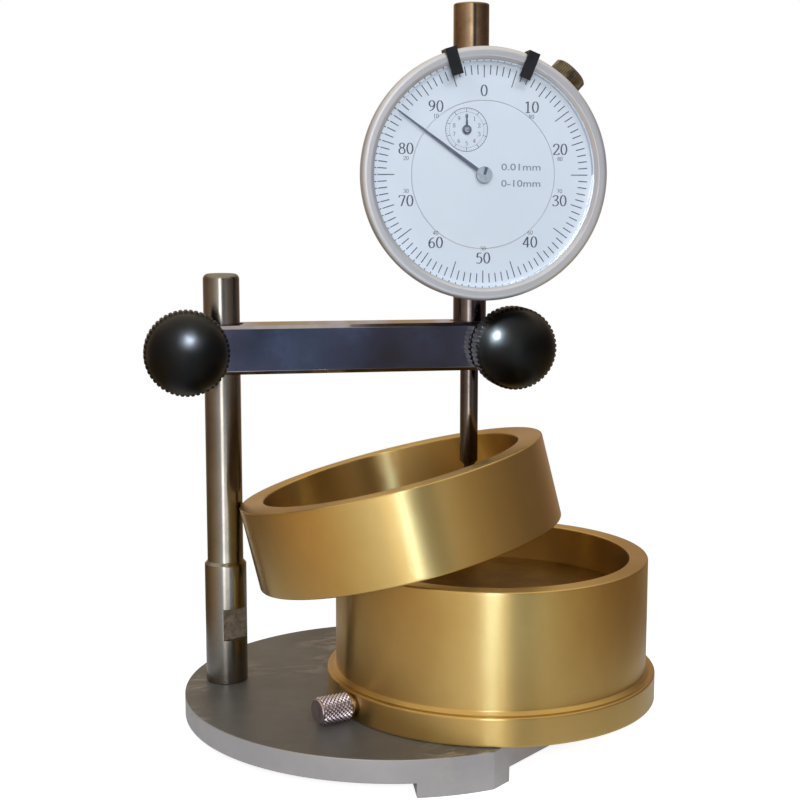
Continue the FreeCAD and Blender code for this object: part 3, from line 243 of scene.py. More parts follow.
@dataclass(frozen=True)
class Moulded(Finish):
    """A moulded, painted or printed finish with a faint orange-peel skin."""

    colour: str
    shade: str
    roughness: tuple[float, float]
    ior: float
    peel: float
    depth: float
    mottle: float
    specular: float = 0.5

    def build(self, tree: Tree) -> Node:
        """Fill the tree: slow noise for tone and gloss, finer noise for the skin.

        Args:
            tree: the material's tree.

        Returns:
            The shader.
        """
        spots = add(tree, "TexCoord").outputs["Object"]
        slow = add(tree, "TexNoise", {"Vector": spots, "Scale": 1 / (self.mottle * MM), "Detail": 4.0})
        skin = add(tree, "TexNoise", {"Vector": spots, "Scale": 1 / (self.peel * MM), "Detail": 2.0})
        colour = add(tree, "Mix", {"Factor": slow, 6: self.colour, 7: self.shade}, data_type="RGBA")
        low, high = self.roughness
        rough = add(tree, "MapRange", {
            "Value": slow, "From Min": 0.3, "From Max": 0.7, "To Min": low, "To Max": high})
        bump = add(tree, "Bump", {"Height": skin, "Distance": self.depth * MM, "Strength": 1.0})
        return add(tree, "BsdfPrincipled", {
            "Base Color": colour, "Roughness": rough, "IOR": self.ior, "Specular IOR Level": self.specular,
            "Normal": bump})


@dataclass(frozen=True)
class Window(Finish):
    """Cast acrylic, clear, that lets the lamps through to what is behind it."""

    roughness: float = 0.03
    ior: float = 1.49

    def build(self, tree: Tree) -> Node:
        """Fill the tree: acrylic for looking through, open to the light that reaches the dial.

        Args:
            tree: the material's tree.

        Returns:
            The shader.
        """
        path = add(tree, "LightPath").outputs
        spots = add(tree, "TexCoord").outputs["Object"]
        # Waves about 11 mm long, as cast sheet has.
        wave = add(tree, "TexNoise", {"Vector": spots, "Scale": 90.0, "Detail": 1.0})
        bump = add(tree, "Bump", {"Height": wave, "Distance": 0.00001, "Strength": 0.4})
        clear = add(tree, "BsdfPrincipled", {
            "Base Color": "#FBFDFF", "Roughness": self.roughness, "IOR": self.ior,
            "Transmission Weight": 1.0, "Normal": bump})
        through = add(tree, "BsdfTransparent", {"Color": "#F4F8FA"})
        light = add(tree, "Math", {
            0: path["Is Shadow Ray"], 1: path["Is Diffuse Ray"]}, operation="MAXIMUM")
        return add(tree, "MixShader", {"Fac": light, 1: clear, 2: through})


# Each metal has its colour, shaded colour, roughness range, grain, and in millimetres the width and
# depth of its marks and the size of its patches. Some add the patches' range, anisotropy, metallic,
# smudges and the marks' share of the tone. Tool marks are drawn a few times as wide as real ones,
# which are too fine to show.
# Brass CZ121 bar, turned and left bare: warm gold, fine tool rings that draw each light out along
# the axis, and a faint brown tarnish.
BRASS = Metal("turned_bare_brass", "#D3B776", "#C5A563", (0.28, 0.34), Grain.ROUND, 0.35, 0.0003, 24.0,
              (0.3, 0.8), 0.92, line_tone=0.05)
# The same brass lying flat at the vessel's bottom, darker, browner and less glossy than the walls.
FLOOR_BRASS = Metal("dulled_brass_floor", "#94752F", "#6C4E1E", (0.3, 0.42), Grain.ROUND, 0.5, 0.0014, 14.0,
                    (0.3, 0.7), 0.5)
# Mild steel plate, surface ground and dull chromated: mid grey, soft gloss, pale rubs.
BASE_STEEL = Metal("satin_base_steel", "#777877", "#6A6A69", (0.36, 0.46), Grain.EVEN, 0.45, 0.003,
                   16.0, (0.3, 0.75), 0.0, 0.5, 0.75, 0.1)
# The plate's turned edge, in a paler copy of the steel: painted light, brighter than its faces because the
# lamps in front fall on it.
LIT_BASE_EDGE = Metal("painted_lit_base_edge", "#B6B4B6", "#A4A2A5", (0.34, 0.44), Grain.EVEN, 0.45, 0.003, 16.0,
                  (0.3, 0.75), 0.0, 0.65, 0.5, 0.1)
# Centreless ground stainless rod: a warm grey mirror with marks round the rod.
ROD_STEEL = Metal("ground_stainless_rod", "#8D8B86", "#716F6B", (0.19, 0.29), Grain.ROUND, 0.25, 0.0008,
                  18.0, (0.35, 0.75), 0.55)
# Bright chromium on milled steel: a cold mirror, faintly wavy from the polishing wheel.
CHROME = Metal("bright_chrome_plate", "#A6A8B4", "#8C8A9C", (0.06, 0.12), Grain.EVEN, 6.0, 0.012, 12.0)
# Nickel-plated spindle, stem and contact point: dark, warm and bright.
NICKEL = Metal("nickel_plated_steel", "#6B6664", "#544F4D", (0.1, 0.2), Grain.EVEN, 0.5, 0.0006, 12.0)
# Bright nickel on the turned dust cap, tinted warm brown as a painted reflection of the brass and the brown
# room round it.
CAP_NICKEL = Metal("warm_tinted_cap_nickel", "#AC977F", "#77654F", (0.14, 0.24), Grain.ROUND, 0.3, 0.0012,
                   7.0, anisotropy=0.55)
# Satin chromed brass bezel: pale, cool and soft.
BEZEL_SATIN = Metal("satin_chrome_bezel", "#D3D6DD", "#C2C5CC", (0.3, 0.4), Grain.ROUND, 0.3, 0.0006, 20.0,
                    (0.3, 0.8), 0.4, 0.6, line_tone=0.06)
# Steel case and cover behind the bezel, satin plated.
CASE_SATIN = Metal("satin_plated_case", "#A9A7A8", "#8B8889", (0.28, 0.4), Grain.EVEN, 0.35, 0.002, 10.0)
# Nickel-plated screws, bright, a little violet.
SCREW_NICKEL = Metal("nickel_plated_screw", "#D3CCD6", "#A99FAE", (0.14, 0.26), Grain.EVEN, 0.4, 0.001, 2.5)
# Satin nickel of the hand's hub, a cool grey.
HUB_NICKEL = Metal("satin_nickel_hub", "#A4ABB3", "#848C96", (0.38, 0.5), Grain.EVEN, 0.3, 0.001, 1.2,
                   metallic=0.2)
# Dull nickel on the bezel lock screw, with a brown film in the knurl.
LOCK_NICKEL = Metal("dull_nickel_knurl", "#8F8676", "#5F5545", (0.26, 0.42), Grain.EVEN, 0.3, 0.001, 2.5)
# Milled wrench flat, left rough: cutter marks and a brown film.
MILLED_FLAT = Metal("milled_wrench_flat", "#8F8577", "#655B4F", (0.5, 0.65), Grain.EVEN, 0.5, 0.012, 1.3,
                    (0.34, 0.68), 0.0, 0.5)
# Stamped clock brass of the movement: yellow and bright.
CLOCK_BRASS = Metal("movement_brass_sheet", "#CDAA62", "#A98544", (0.22, 0.34), Grain.DRAWN, 0.3, 0.001,
                    6.0)
# Sintered bronze bush, brown and matt.
BUSH_BRONZE = Metal("bronze_bush", "#A87F4E", "#7C5A33", (0.34, 0.5), Grain.EVEN, 0.25, 0.002, 4.0)
# Hardened spring wire, blue-grey.
SPRING_WIRE = Metal("spring_steel_wire", "#8D9199", "#6A6E77", (0.2, 0.32), Grain.EVEN, 0.2, 0.0006, 3.0)
# Blued steel hand: dark slate blue with a soft gleam.
BLUED = Metal("blued_steel_hand", "#444E60", "#353F52", (0.3, 0.42), Grain.EVEN, 0.3, 0.0004, 4.0,
              metallic=0.4)
# The next have colour, shaded colour, roughness range, IOR, and in millimetres the size and depth
# of the skin's peel and the size of the patches. The knobs add a specular level.
# Phenolic moulding: deep black with a soft gleam, a little green-blue.
PHENOLIC = Moulded("black_phenolic", "#040505", "#070809", (0.32, 0.4), 1.5, 1.6, 0.002, 6.0, 0.16)
# Black japanned spring steel of the limit clips.
JAPANNED = Moulded("black_japanned_clip", "#0E1013", "#1A1C22", (0.3, 0.44), 1.45, 0.5, 0.003, 2.0)
# Baked white enamel of the dial, cool in tone.
DIAL_ENAMEL = Moulded("white_dial_enamel", "#DEE0E7", "#D7DBE4", (0.42, 0.5), 1.5, 0.4, 0.0006, 12.0)
# Pad-printed dial ink, slate blue, and the paler inks of the divisions and the unit words.
DIAL_INK = Moulded("slate_dial_ink", "#2B3342", "#363F50", (0.5, 0.6), 1.45, 0.2, 0.0003, 2.0)
TICK_INK = Moulded("blue_grey_tick_ink", "#7E8CA2", "#8997AB", (0.5, 0.6), 1.45, 0.2, 0.0003, 2.0)
PALE_INK = Moulded("grey_dial_ink", "#78828F", "#848E9B", (0.5, 0.6), 1.45, 0.2, 0.0003, 2.0)
# Clear acrylic window.
ACRYLIC = Window("clear_acrylic_window")

# Places shared by the sub-assemblies, in millimetres.
BASE_TOP = 8.5
COLUMN_AT = Vector((-40.85, 10.0, 0.0))
STEM_AT = Vector((19.15, 10.0, 0.0))
DIAL_Z = 130.1
ARM_Z = 89.5
# Turns a mesh's +Z to the person who reads the dial.
FACE = Matrix.Rotation(math.radians(90), 4, "X")
QUARTER = Matrix.Rotation(math.radians(90), 4, "Z")


def in_place(x: float, y: float, z: float, turn: Matrix | None = None) -> Matrix:
    """Give the matrix that puts a mesh drawn in millimetres at a place in the frame.

    Args:
        x: place along X.
        y: place along Y.
        z: place along Z.
        turn: how the mesh is turned first.

    Returns:
        The matrix, which also turns millimetres into metres.
    """
    return Matrix.Translation(Vector((x, y, z)) * MM) @ (turn or Matrix()) @ Matrix.Scale(MM, 4)


def on_dial(spin: float = 0.0) -> Matrix:
    """Give the matrix for a mesh drawn on the dial, Z to the reader, spun clockwise in degrees."""
    return in_place(STEM_AT.x, STEM_AT.y, DIAL_Z, FACE @ Matrix.Rotation(math.radians(-spin), 4, "Z"))


def in_scene(name: str, data: bpy.types.ID) -> Piece:
    """Make an object of some data and put it in the scene.

    Args:
        name: its name.
        data: its mesh, curve, lamp or camera.

    Returns:
        The object, at the origin.
    """
    made = bpy.data.objects.new(name, data)
    bpy.context.scene.collection.objects.link(made)
    return made


def as_mesh(name: str, work: Draft) -> bpy.types.Mesh:
    """Turn a bmesh into a mesh and free it.

    Args:
        name: the mesh's name.
        work: the bmesh.

    Returns:
        The mesh.
    """
    mesh = bpy.data.meshes.new(name)
    work.to_mesh(mesh)
    work.free()
    return mesh


def evaluated(piece: Piece) -> bpy.types.Mesh:
    """Give a plain mesh of an object as its modifiers or its curve make it."""
    return bpy.data.meshes.new_from_object(piece.evaluated_get(bpy.context.evaluated_depsgraph_get()))


def new_piece(name: str, mesh: bpy.types.Mesh, finishes: Sequence[Finish], sharp: float | None) -> Piece:
    """Make a piece of a mesh that is already in place.

    Args:
        name: the piece's name.
        mesh: its mesh.
        finishes: one finish for each material number.
        sharp: edges sharper than this many degrees stay crisp, or None for flat faces.

    Returns:
        The piece.
    """
    if sharp is not None:
        mesh.shade_smooth()
        mesh.set_sharp_from_angle(angle=math.radians(sharp))
    for finish in finishes:
        mesh.materials.append(finish.material())
    return in_scene(name, mesh)


def finish_mesh(
    name: str,
    work: Draft,
    place: Matrix,
    finishes: Sequence[Finish],
    sharp: float | None = 35.0,
) -> Piece:
    """Turn a bmesh in millimetres into a placed piece.

    Args:
        name: the piece's name.
        work: the mesh, which is freed.
        place: its place.
        finishes: one finish for each material number.
        sharp: edges sharper than this many degrees stay crisp, or None for flat faces.

    Returns:
        The piece.
    """
    work.transform(place)
    return new_piece(name, as_mesh(name, work), finishes, sharp)


def fit(piece: Piece, body: str, slot: str, *nodes: str) -> None:
    """Let a piece ride on its body and stand for the CAD nodes that it covers.

    Args:
        piece: the finished piece.
        body: the body it moves with.
        slot: the record's material slot; not used.
        nodes: the nodes that it replaces.
    """
    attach(piece, body)
    if nodes:
        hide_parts(*nodes)
    LOG.info("%s rides on %s and replaces %s", piece.name, body, ", ".join(nodes) or "nothing")


def dress(finish: Finish, *nodes: str) -> None:
    """Give CAD nodes whose shape stays a finish.

    Args:
        finish: what they wear.
        nodes: their names.
    """
    for name in nodes:
        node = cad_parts[name]
        if not node.material_slots:
            node.data.materials.append(None)
        for slot in node.material_slots:
            slot.material = finish.material()
        LOG.info("%s wears %s", name, finish.name)


def second_finish(work: Draft, first: int, end: int | None = None) -> None:
    """Give the faces from one number to before another the second finish."""
    for face in list(work.faces)[first:end]:
        face.material_index = 1


def rounded(outline: Outline, closed: bool, steps: int = 4) -> list[tuple[float, float]]:
    """Round an outline's corners and add a point beside each round, so that flats stay flat.

    Args:
        outline: (radius, height) points, with a third number where the corner is rounded.
        closed: whether the last point joins the first.
        steps: segments in each round.

    Returns:
        The finer outline.
    """
    points = [Vector(p[:2]) for p in outline]
    count = len(points)
    fine: list[Vector] = []
    for index, point in enumerate(points):
        radius = outline[index][2] if len(outline[index]) > 2 else 0.0
        end = not closed and index in (0, count - 1)
        if end or radius <= 0:
            fine.append(point)
            continue
        before = (points[index - 1] - point).normalized()
        after = (points[(index + 1) % count] - point).normalized()
        half = before.angle(after) / 2
        first = point + before * (radius / math.tan(half))
        last = point + after * (radius / math.tan(half))
        centre = point + (before + after).normalized() * (radius / math.sin(half))
        beside = min(0.15, radius * 0.3)
        fine.append(first + before * beside)
        for step in range(steps + 1):
            out = first.lerp(last, step / steps) - centre
            fine.append(centre + out.normalized() * radius)
        fine.append(last + after * beside)
    return [(p.x, p.y) for p in fine]


def lathe(outline: Outline, turns: int, closed: bool = False, shaper: Shaper | None = None) -> Draft:
    """Spin an outline round Z, with a UV map in centimetres: U along the outline, V round.

    Args:
        outline: points as rounded() takes them, with the solid on their left.
        turns: faces round the axis.
        closed: whether the last point joins the first.
        shaper: moves a point after the spin, for flutes or flats.

    Returns:
        The spun mesh in millimetres.
    """
    outline = rounded(outline, closed)
    work = bmesh.new()
    layer = work.loops.layers.uv.new(UV_NAME)
    rings = []
    for radius, height in outline:
        if radius < 1e-6:
            rings.append([work.verts.new((0.0, 0.0, height))] * turns)
            continue
        ring = []
        for number in range(turns):
            angle = 2 * math.pi * number / turns + math.pi / 2
            point = Vector((radius * math.cos(angle), radius * math.sin(angle), height))
            ring.append(work.verts.new(shaper(point) if shaper else point))
        rings.append(ring)
    if closed:
        rings.append(rings[0])
        outline.append(outline[0])
    round_step = 2 * math.pi * max(radius for radius, _ in outline) / turns / CM
    along = 0.0
    for index in range(len(rings) - 1):
        further = along + math.dist(outline[index], outline[index + 1]) / CM
        low, high = rings[index:index + 2]
        for number in range(turns):
            after = (number + 1) % turns
            # On the axis two corners are one point, which then counts once.
            corners = {}
            for vert, across, side in (
                (low[number], along, 0), (low[after], along, 1),
                (high[after], further, 1), (high[number], further, 0),
            ):
                corners.setdefault(vert, (across, (number + side) * round_step))
            if len(corners) > 2:
                face = work.faces.new(list(corners))
                for loop, place in zip(face.loops, corners.values()):
                    loop[layer].uv = place
        along = further
    return work


def turned(
    name: str,
    outline: Outline,
    place: Matrix,
    finish: Finish,
    rides: tuple[str, str, str],
    turns: int = 256,
    closed: bool = False,
) -> None:
    """Turn a plain round piece, finish it and fit it.

    Args:
        name: the piece's name.
        outline: its half section, as rounded() takes it.
        place: its place.
        finish: what it wears.
        rides: its body, its material slot and the node that it replaces.
        turns: faces round the axis.
        closed: whether the section is a closed loop.
    """
    fit(finish_mesh(name, lathe(outline, turns, closed), place, [finish]), *rides)


def cad_copy(name: str, node: str, finishes: Sequence[Finish], bevel: float, angle: float = 35.0) -> Piece:
    """Copy a CAD node's mesh, join its faces and round its edges.

    Args:
        name: the new piece's name.
        node: the node to copy.
        finishes: its finishes.
        bevel: edge round in millimetres.
        angle: edges sharper than this many degrees are rounded.

    Returns:
        The piece, with the round in its mesh.
    """
    joined = 0.002 * MM
    in_plane = math.radians(0.5)
    work = bmesh.new()
    work.from_mesh(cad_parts[node].data)
    bmesh.ops.remove_doubles(work, verts=work.verts, dist=joined)
    bmesh.ops.dissolve_limit(work, angle_limit=in_plane, verts=work.verts, edges=work.edges)
    piece = new_piece(name, as_mesh(name, work), finishes, angle)
    rounding = piece.modifiers.new("edge_round", "BEVEL")
    rounding.width = bevel * MM
    rounding.segments = 2
    rounding.limit_method = "ANGLE"
    rounding.angle_limit = math.radians(angle)
    flat = piece.modifiers.new("flat_faces", "WEIGHTED_NORMAL")
    flat.weight = 100
    flat.keep_sharp = True
    plain = evaluated(piece)
    piece.modifiers.clear()
    piece.data = plain
    return piece


class RowsRound:
    """Copies of one small shape in rows round an axis, made with Geometry Nodes."""

    SOCKETS = {
        "Copy": "Object", "Finish": "Material", "Count": "Int", "Rows": "Int", "Radius": "Float",
        "Row Step": "Float", "Row Twist": "Float",
    }

    def __init__(self) -> None:
        """Build the tree, which every call shares."""
        self.tree = tree = bpy.data.node_groups.new("rows_round_axis", "GeometryNodeTree")
        self.names: dict[str, str] = {}
        for name, kind in self.SOCKETS.items():
            socket = tree.interface.new_socket(name, in_out="INPUT", socket_type="NodeSocket" + kind)
            self.names[name] = socket.identifier
        tree.interface.new_socket("Geometry", in_out="OUTPUT", socket_type="NodeSocketGeometry")
        given = add(tree, "NodeGroupInput").outputs
        total = add(tree, "Math", {0: given["Count"], 1: given["Rows"]}, operation="MULTIPLY")
        points = add(tree, "GeometryNodeMeshLine", {"Count": total, "Offset": (0.0, 0.0, 0.0)})
        index = add(tree, "GeometryNodeInputIndex")
        share = add(tree, "Math", {0: index, 1: given["Count"]}, operation="DIVIDE")
        # The little that is added keeps a whole number from rounding down to the row below.
        row = add(tree, "Math", {0: share, 1: 0.0001}, operation="ADD")
        row = add(tree, "Math", {0: row}, operation="FLOOR")
        turn = add(tree, "Math", {0: share, 1: 2 * math.pi}, operation="MULTIPLY")
        angle = add(tree, "Math", {0: row, 1: given["Row Twist"], 2: turn}, operation="MULTIPLY_ADD")
        height = add(tree, "Math", {0: row, 1: given["Row Step"]}, operation="MULTIPLY")
        out = add(tree, "CombineXYZ", {"X": given["Radius"], "Z": height})
        around = add(tree, "CombineXYZ", {"Z": angle})
        spun = add(tree, "VectorRotate", {"Vector": out, "Rotation": around}, rotation_type="EULER_XYZ")
        placed = add(tree, "GeometryNodeSetPosition", {"Geometry": points, "Position": spun})
        shape = add(tree, "GeometryNodeObjectInfo", {"Object": given["Copy"]}).outputs["Geometry"]
        copies = add(tree, "GeometryNodeInstanceOnPoints", {
            "Points": placed, "Instance": shape, "Rotation": around})
        real = add(tree, "GeometryNodeRealizeInstances", {"Geometry": copies})
        worn = add(tree, "GeometryNodeSetMaterial", {"Geometry": real, "Material": given["Finish"]})
        add(tree, "NodeGroupOutput", {"Geometry": worn})

    def mesh(
        self,
        shape: Draft,
        finish: Finish,
        count: int,
        rows: int = 1,
        radius: float = 0.0,
        step: float = 0.0,
        twist: float = 0.0,
    ) -> Draft:
        """Repeat a shape and give the result as a plain mesh.

        Args:
            shape: the shape in millimetres, drawn on +X; it is freed.
            finish: what the copies wear.
            count: how many copies a row has.
            rows: how many rows there are.
            radius: how far from the axis the copies stand.
            step: how much higher each row is than the last.
            twist: how far each row is turned from the last, in radians.

        Returns:
            All the copies in millimetres.
        """
        source = in_scene("copied_shape", as_mesh("copied_shape", shape))
        holder = in_scene("copies", bpy.data.meshes.new("copies"))
        repeat = holder.modifiers.new("rows", "NODES")
        repeat.node_group = self.tree
        values = (source, finish.material(), count, rows, radius, step, twist)
        for name, value in zip(self.SOCKETS, values):
            repeat[self.names[name]] = value
        plain = evaluated(holder)
        work = bmesh.new()
        work.from_mesh(plain)
        bpy.data.objects.remove(holder)
        bpy.data.objects.remove(source)
        bpy.data.meshes.remove(plain)
        return work


def merge(into: Draft, more: Draft, shift: Matrix | None = None) -> None:
    """Add one bmesh to another.

    Args:
        into: the mesh that grows.
        more: the mesh added, which is freed.
        shift: how it is moved first.
    """
    if shift is not None:
        more.transform(shift)
    carried = as_mesh("carried", more)
    into.from_mesh(carried)
    bpy.data.meshes.remove(carried)


def round_points(radius: float, count: int, at: Vector | None = None) -> list[Vector]:
    """Give points round a dial, clockwise from its top.

    Args:
        radius: their distance from the middle.
        count: how many.
        at: the middle, where it isn't zero.

    Returns:
        The points.
    """
    middle = at or Vector((0.0, 0.0))
    angles = [math.radians(360 / count * number) for number in range(count)]
    return [middle + Vector((math.sin(angle), math.cos(angle))) * radius for angle in angles]


class Stroke(Enum):
    """How a figure's stroke runs through its points."""

    LINE = "straight from each to the next"
    CURVE = "smoothly, with two ends"
    LOOP = "smoothly, and back to the first"


class Pen:
    """Draws serif figures with a broad pen, upright strokes thick and level ones thin."""

    LINE, CURVE, LOOP = Stroke
    # Each figure's strokes, in hundredths of its height from its lower left corner.
    STROKES: dict[str, list[tuple]] = {
        "0": [(LOOP, (25, 97), (38, 86), (45, 50), (38, 14), (25, 3), (12, 14), (5, 50), (12, 86))],
        "1": [(LINE, (10, 83), (27, 97)), (LINE, (27, 98), (27, 2)), (LINE, (12, 2), (42, 2))],
        "2": [(CURVE, (6, 70), (10, 87), (25, 97), (40, 88), (43, 70), (34, 48), (18, 24), (5, 4)),
              (LINE, (5, 4), (44, 4), (47, 18))],
        "3": [(CURVE, (7, 80), (14, 92), (26, 97), (39, 88), (40, 73), (31, 59), (18, 54)),
              (CURVE, (18, 54), (36, 48), (45, 31), (40, 13), (24, 3), (10, 7), (5, 18))],
        "4": [(LINE, (34, 97), (3, 29)), (LINE, (3, 28), (48, 28)), (LINE, (35, 97), (35, 2))],
        "5": [(LINE, (15, 94), (43, 94)), (LINE, (15, 94), (11, 56)),
              (CURVE, (11, 55), (26, 61), (40, 52), (44, 31), (37, 11), (21, 3), (6, 10))],
        "6": [(CURVE, (42, 92), (25, 84), (10, 60), (7, 31), (14, 10), (26, 3), (40, 12), (44, 31),
               (37, 50), (24, 55), (12, 46), (7, 33))],
        "7": [(LINE, (5, 78), (8, 94), (46, 94)), (LINE, (46, 94), (20, 2))],
        "8": [(LOOP, (25, 97), (39, 86), (38, 65), (25, 54), (12, 65), (11, 86)),
              (LOOP, (25, 54), (42, 42), (43, 15), (25, 3), (7, 15), (8, 42))],
        "9": [(CURVE, (8, 8), (25, 16), (40, 40), (43, 69), (36, 90), (24, 97), (10, 88), (6, 69),
               (13, 50), (26, 45), (38, 54), (43, 67))],
    }
    # Half widths of upright and level strokes, the step from one figure to the next and the gap
    # between two, as shares of the height.
    UPRIGHT = 0.07
    LEVEL = 0.034
    ADVANCE = 0.56
    GAP = 0.06
    # How much wider than they are drawn here the figures print.
    SPREAD = 1.26
    CURVE_STEPS = 4

    def path(self, kind: Stroke, points: Iterable[tuple[int, int]]) -> list[Vector]:
        """Give a stroke's points, smoothed where it is a curve or a loop.

        Args:
            kind: how it runs through them.
            points: its own points in hundredths.

        Returns:
            The points to draw through, in shares of the figure's height.
        """
        given = [Vector((x / 100, y / 100)) for x, y in points]
        if kind is Stroke.LINE:
            return given
        ends = (given[-1:], given[:2]) if kind is Stroke.LOOP else (given[:1], given[-1:])
        through = ends[0] + given + ends[1]
        smooth = []
        for p0, p1, p2, p3 in zip(through, through[1:], through[2:], through[3:]):
            for step in range(self.CURVE_STEPS):
                t = step / self.CURVE_STEPS
                smooth.append(0.5 * (2 * p1 + (p2 - p0) * t + (2 * p0 - 5 * p1 + 4 * p2 - p3) * t * t
                                     + (3 * p1 - p0 - 3 * p2 + p3) * t ** 3))
        return [*smooth, through[-2]]

    def stroke(self, work: Draft, path: Sequence[Vector], at: Vector, tall: float, lift: float) -> None:
        """Draw one stroke as a flat ribbon.

        Args:
            work: the mesh that grows.
            path: points in shares of the figure's height.
            at: the figure's lower left corner.
            tall: the figure's height.
            lift: height above the dial's zero plane.
        """
        edges = []
        for index, point in enumerate(path):
            ahead = path[min(index + 1, len(path) - 1)] - path[max(index - 1, 0)]
            across = Vector((-ahead.y, ahead.x)).normalized()
            wide = math.hypot(self.UPRIGHT * across.x, self.LEVEL * across.y)
            offset = Vector((self.UPRIGHT ** 2 * across.x, self.LEVEL ** 2 * across.y)) / wide
            pair = []
            for side in (offset, -offset):
                flat = at + Vector((point.x * self.SPREAD + side.x, point.y + side.y)) * tall
                pair.append(work.verts.new((flat.x, flat.y, lift)))
            edges.append(pair)
        for (a, b), (c, d) in zip(edges, edges[1:]):
            work.faces.new((b, d, c, a))

    def number(self, work: Draft, text: str, middle: Vector, tall: float, lift: float) -> None:
        """Draw a number centred on a point.

        Args:
            work: the mesh that grows.
            text: its figures.
            middle: the number's middle.
            tall: its height.
            lift: height above the dial's zero plane.
        """
        wide = (len(text) * self.ADVANCE - self.GAP) * self.SPREAD
        corner = middle - Vector((wide, 1.0)) * tall / 2
        for place, figure in enumerate(text):
            at = corner + Vector((place * self.ADVANCE * self.SPREAD * tall, 0.0))
            for kind, *points in self.STROKES[figure]:
                self.stroke(work, self.path(kind, points), at, tall, lift)


def printed_words(work: Draft, text: str, low: Vector, high: Vector, lift: float) -> None:
    """Draw a plain word as flat letters that fill a box.

    Args:
        work: the mesh that grows.
        text: the word.
        low: the box's lower left corner.
        high: its upper right corner.
        lift: height above the dial's zero plane.
    """
    curve = bpy.data.curves.new("word", "FONT")
    curve.body = text
    curve.resolution_u = 3
    # Thickens the letters, as a share of their size.
    curve.offset = 0.012
    holder = in_scene("word", curve)
    flat = evaluated(holder)
    letters = bmesh.new()
    letters.from_mesh(flat)
    xs = [v.co.x for v in letters.verts]
    ys = [v.co.y for v in letters.verts]
    wide = (high.x - low.x) / (max(xs) - min(xs))
    tall = (high.y - low.y) / (max(ys) - min(ys))
    for vert in letters.verts:
        vert.co = Vector((low.x + (vert.co.x - min(xs)) * wide, low.y + (vert.co.y - min(ys)) * tall, lift))
    merge(work, letters)
    bpy.data.objects.remove(holder)
    bpy.data.meshes.remove(flat)


def print_on_dial(name: str, work: Draft, finishes: Sequence[Finish], body: str) -> None:
    """Turn a print's faces to the reader and fit it on the dial.

    Args:
        name: the print's name.
        work: the print, drawn on the dial's plane.
        finishes: its inks.
        body: the body it moves with.
    """
    work.normal_update()
    for face in work.faces:
        if face.normal.z < 0:
            face.normal_flip()
    fit(finish_mesh(name, work, on_dial(), finishes, None), body, "dial_print")


def block(low: Sequence[float], high: Sequence[float], narrow: float = 1.0) -> Draft:
    """Make a small block whose +X face is narrowed, in millimetres.

    Args:
        low: its lowest corner.
        high: its highest corner.
        narrow: the +X face's width along Y as a share of the -X face's.

    Returns:
        The block.
    """
    work = bmesh.new()
    corners = []
    for x, share in ((low[0], 1.0), (high[0], narrow)):
        for y in (low[1], high[1]):
            for z in (low[2], high[2]):
                corners.append(work.verts.new((x, y * share, z)))
    for quad in ((0, 1, 3, 2), (4, 6, 7, 5), (0, 4, 5, 1), (2, 3, 7, 6), (0, 2, 6, 4), (1, 5, 7, 3)):
        work.faces.new([corners[i] for i in quad])
    bmesh.ops.recalc_face_normals(work, faces=work.faces)
    return work


@dataclass
class Stand:
    """Base plate and column."""

    edge_round: float = 0.35
    tail: float = 6.0
    tail_low: float = 3.2
    shank: float = 10.0
    shank_tall: float = 29.8
    rod: float = 8.6
    tall: float = 98.7
    bevel: float = 0.8
    top_round: float = 1.3
    flat_across: float = 7.6
    flat_low: float = 10.9
    flat_tall: float = 7.6
    flat_faces: float = -61.0
    flat_step: float = 0.04

    # A face of the plate that is less level than this belongs to its edge, which gets the paler steel as
    # painted light.
    LEVEL = 0.5

    def base(self) -> None:
        """Round the plate's edges a little, and give its upright edge a paler copy of the steel as painted
        light.
        """
        piece = cad_copy("base_disc", "base_plate", [BASE_STEEL, LIT_BASE_EDGE], self.edge_round)
        for face in piece.data.polygons:
            if abs(face.normal.z) < self.LEVEL:
                face.material_index = 1
        fit(piece, "base", "satin_steel", "base_plate")

    def column(self) -> None:
        """Turn the column and mill its two wrench flats."""
        top = BASE_TOP + self.tall
        step = BASE_TOP + self.shank_tall
        low = BASE_TOP + self.flat_low
        high = low + self.flat_tall
        radius = self.shank / 2
        across = self.flat_across / 2
        outline = [
            (0, self.tail_low), (self.tail / 2, self.tail_low), (self.tail / 2, BASE_TOP),
            (radius, BASE_TOP, 0.2), (radius, low - self.flat_step), (radius, low + self.flat_step),
            (radius, high - self.flat_step), (radius, high + self.flat_step),
            (radius, step - self.bevel, 0.25), (self.rod / 2, step, 0.2),
            (self.rod / 2, top, self.top_round), (0, top),
        ]
        angle = math.radians(self.flat_faces)
        facing = Vector((math.cos(angle), math.sin(angle), 0.0))

        def mill(point: Vector) -> Vector:
            """Cut a point of the column back to the flats.

            Args:
                point: where the lathe left it.

            Returns:
                Where it is then.
            """
            reach = point.dot(facing)
            if low < point.z < high and abs(reach) > across:
                point = point - facing * (reach - math.copysign(across, reach))
            return point

        work = lathe(outline, 160, shaper=mill)
        for face in work.faces:
            middle = face.calc_center_median()
            if low < middle.z < high and abs(abs(middle.dot(facing)) - across) < 0.02:
                face.material_index = 1
        place = in_place(COLUMN_AT.x, COLUMN_AT.y, 0)
        piece = finish_mesh("turned_column", work, place, [ROD_STEEL, MILLED_FLAT])
        fit(piece, "base", "ground_steel", "column")


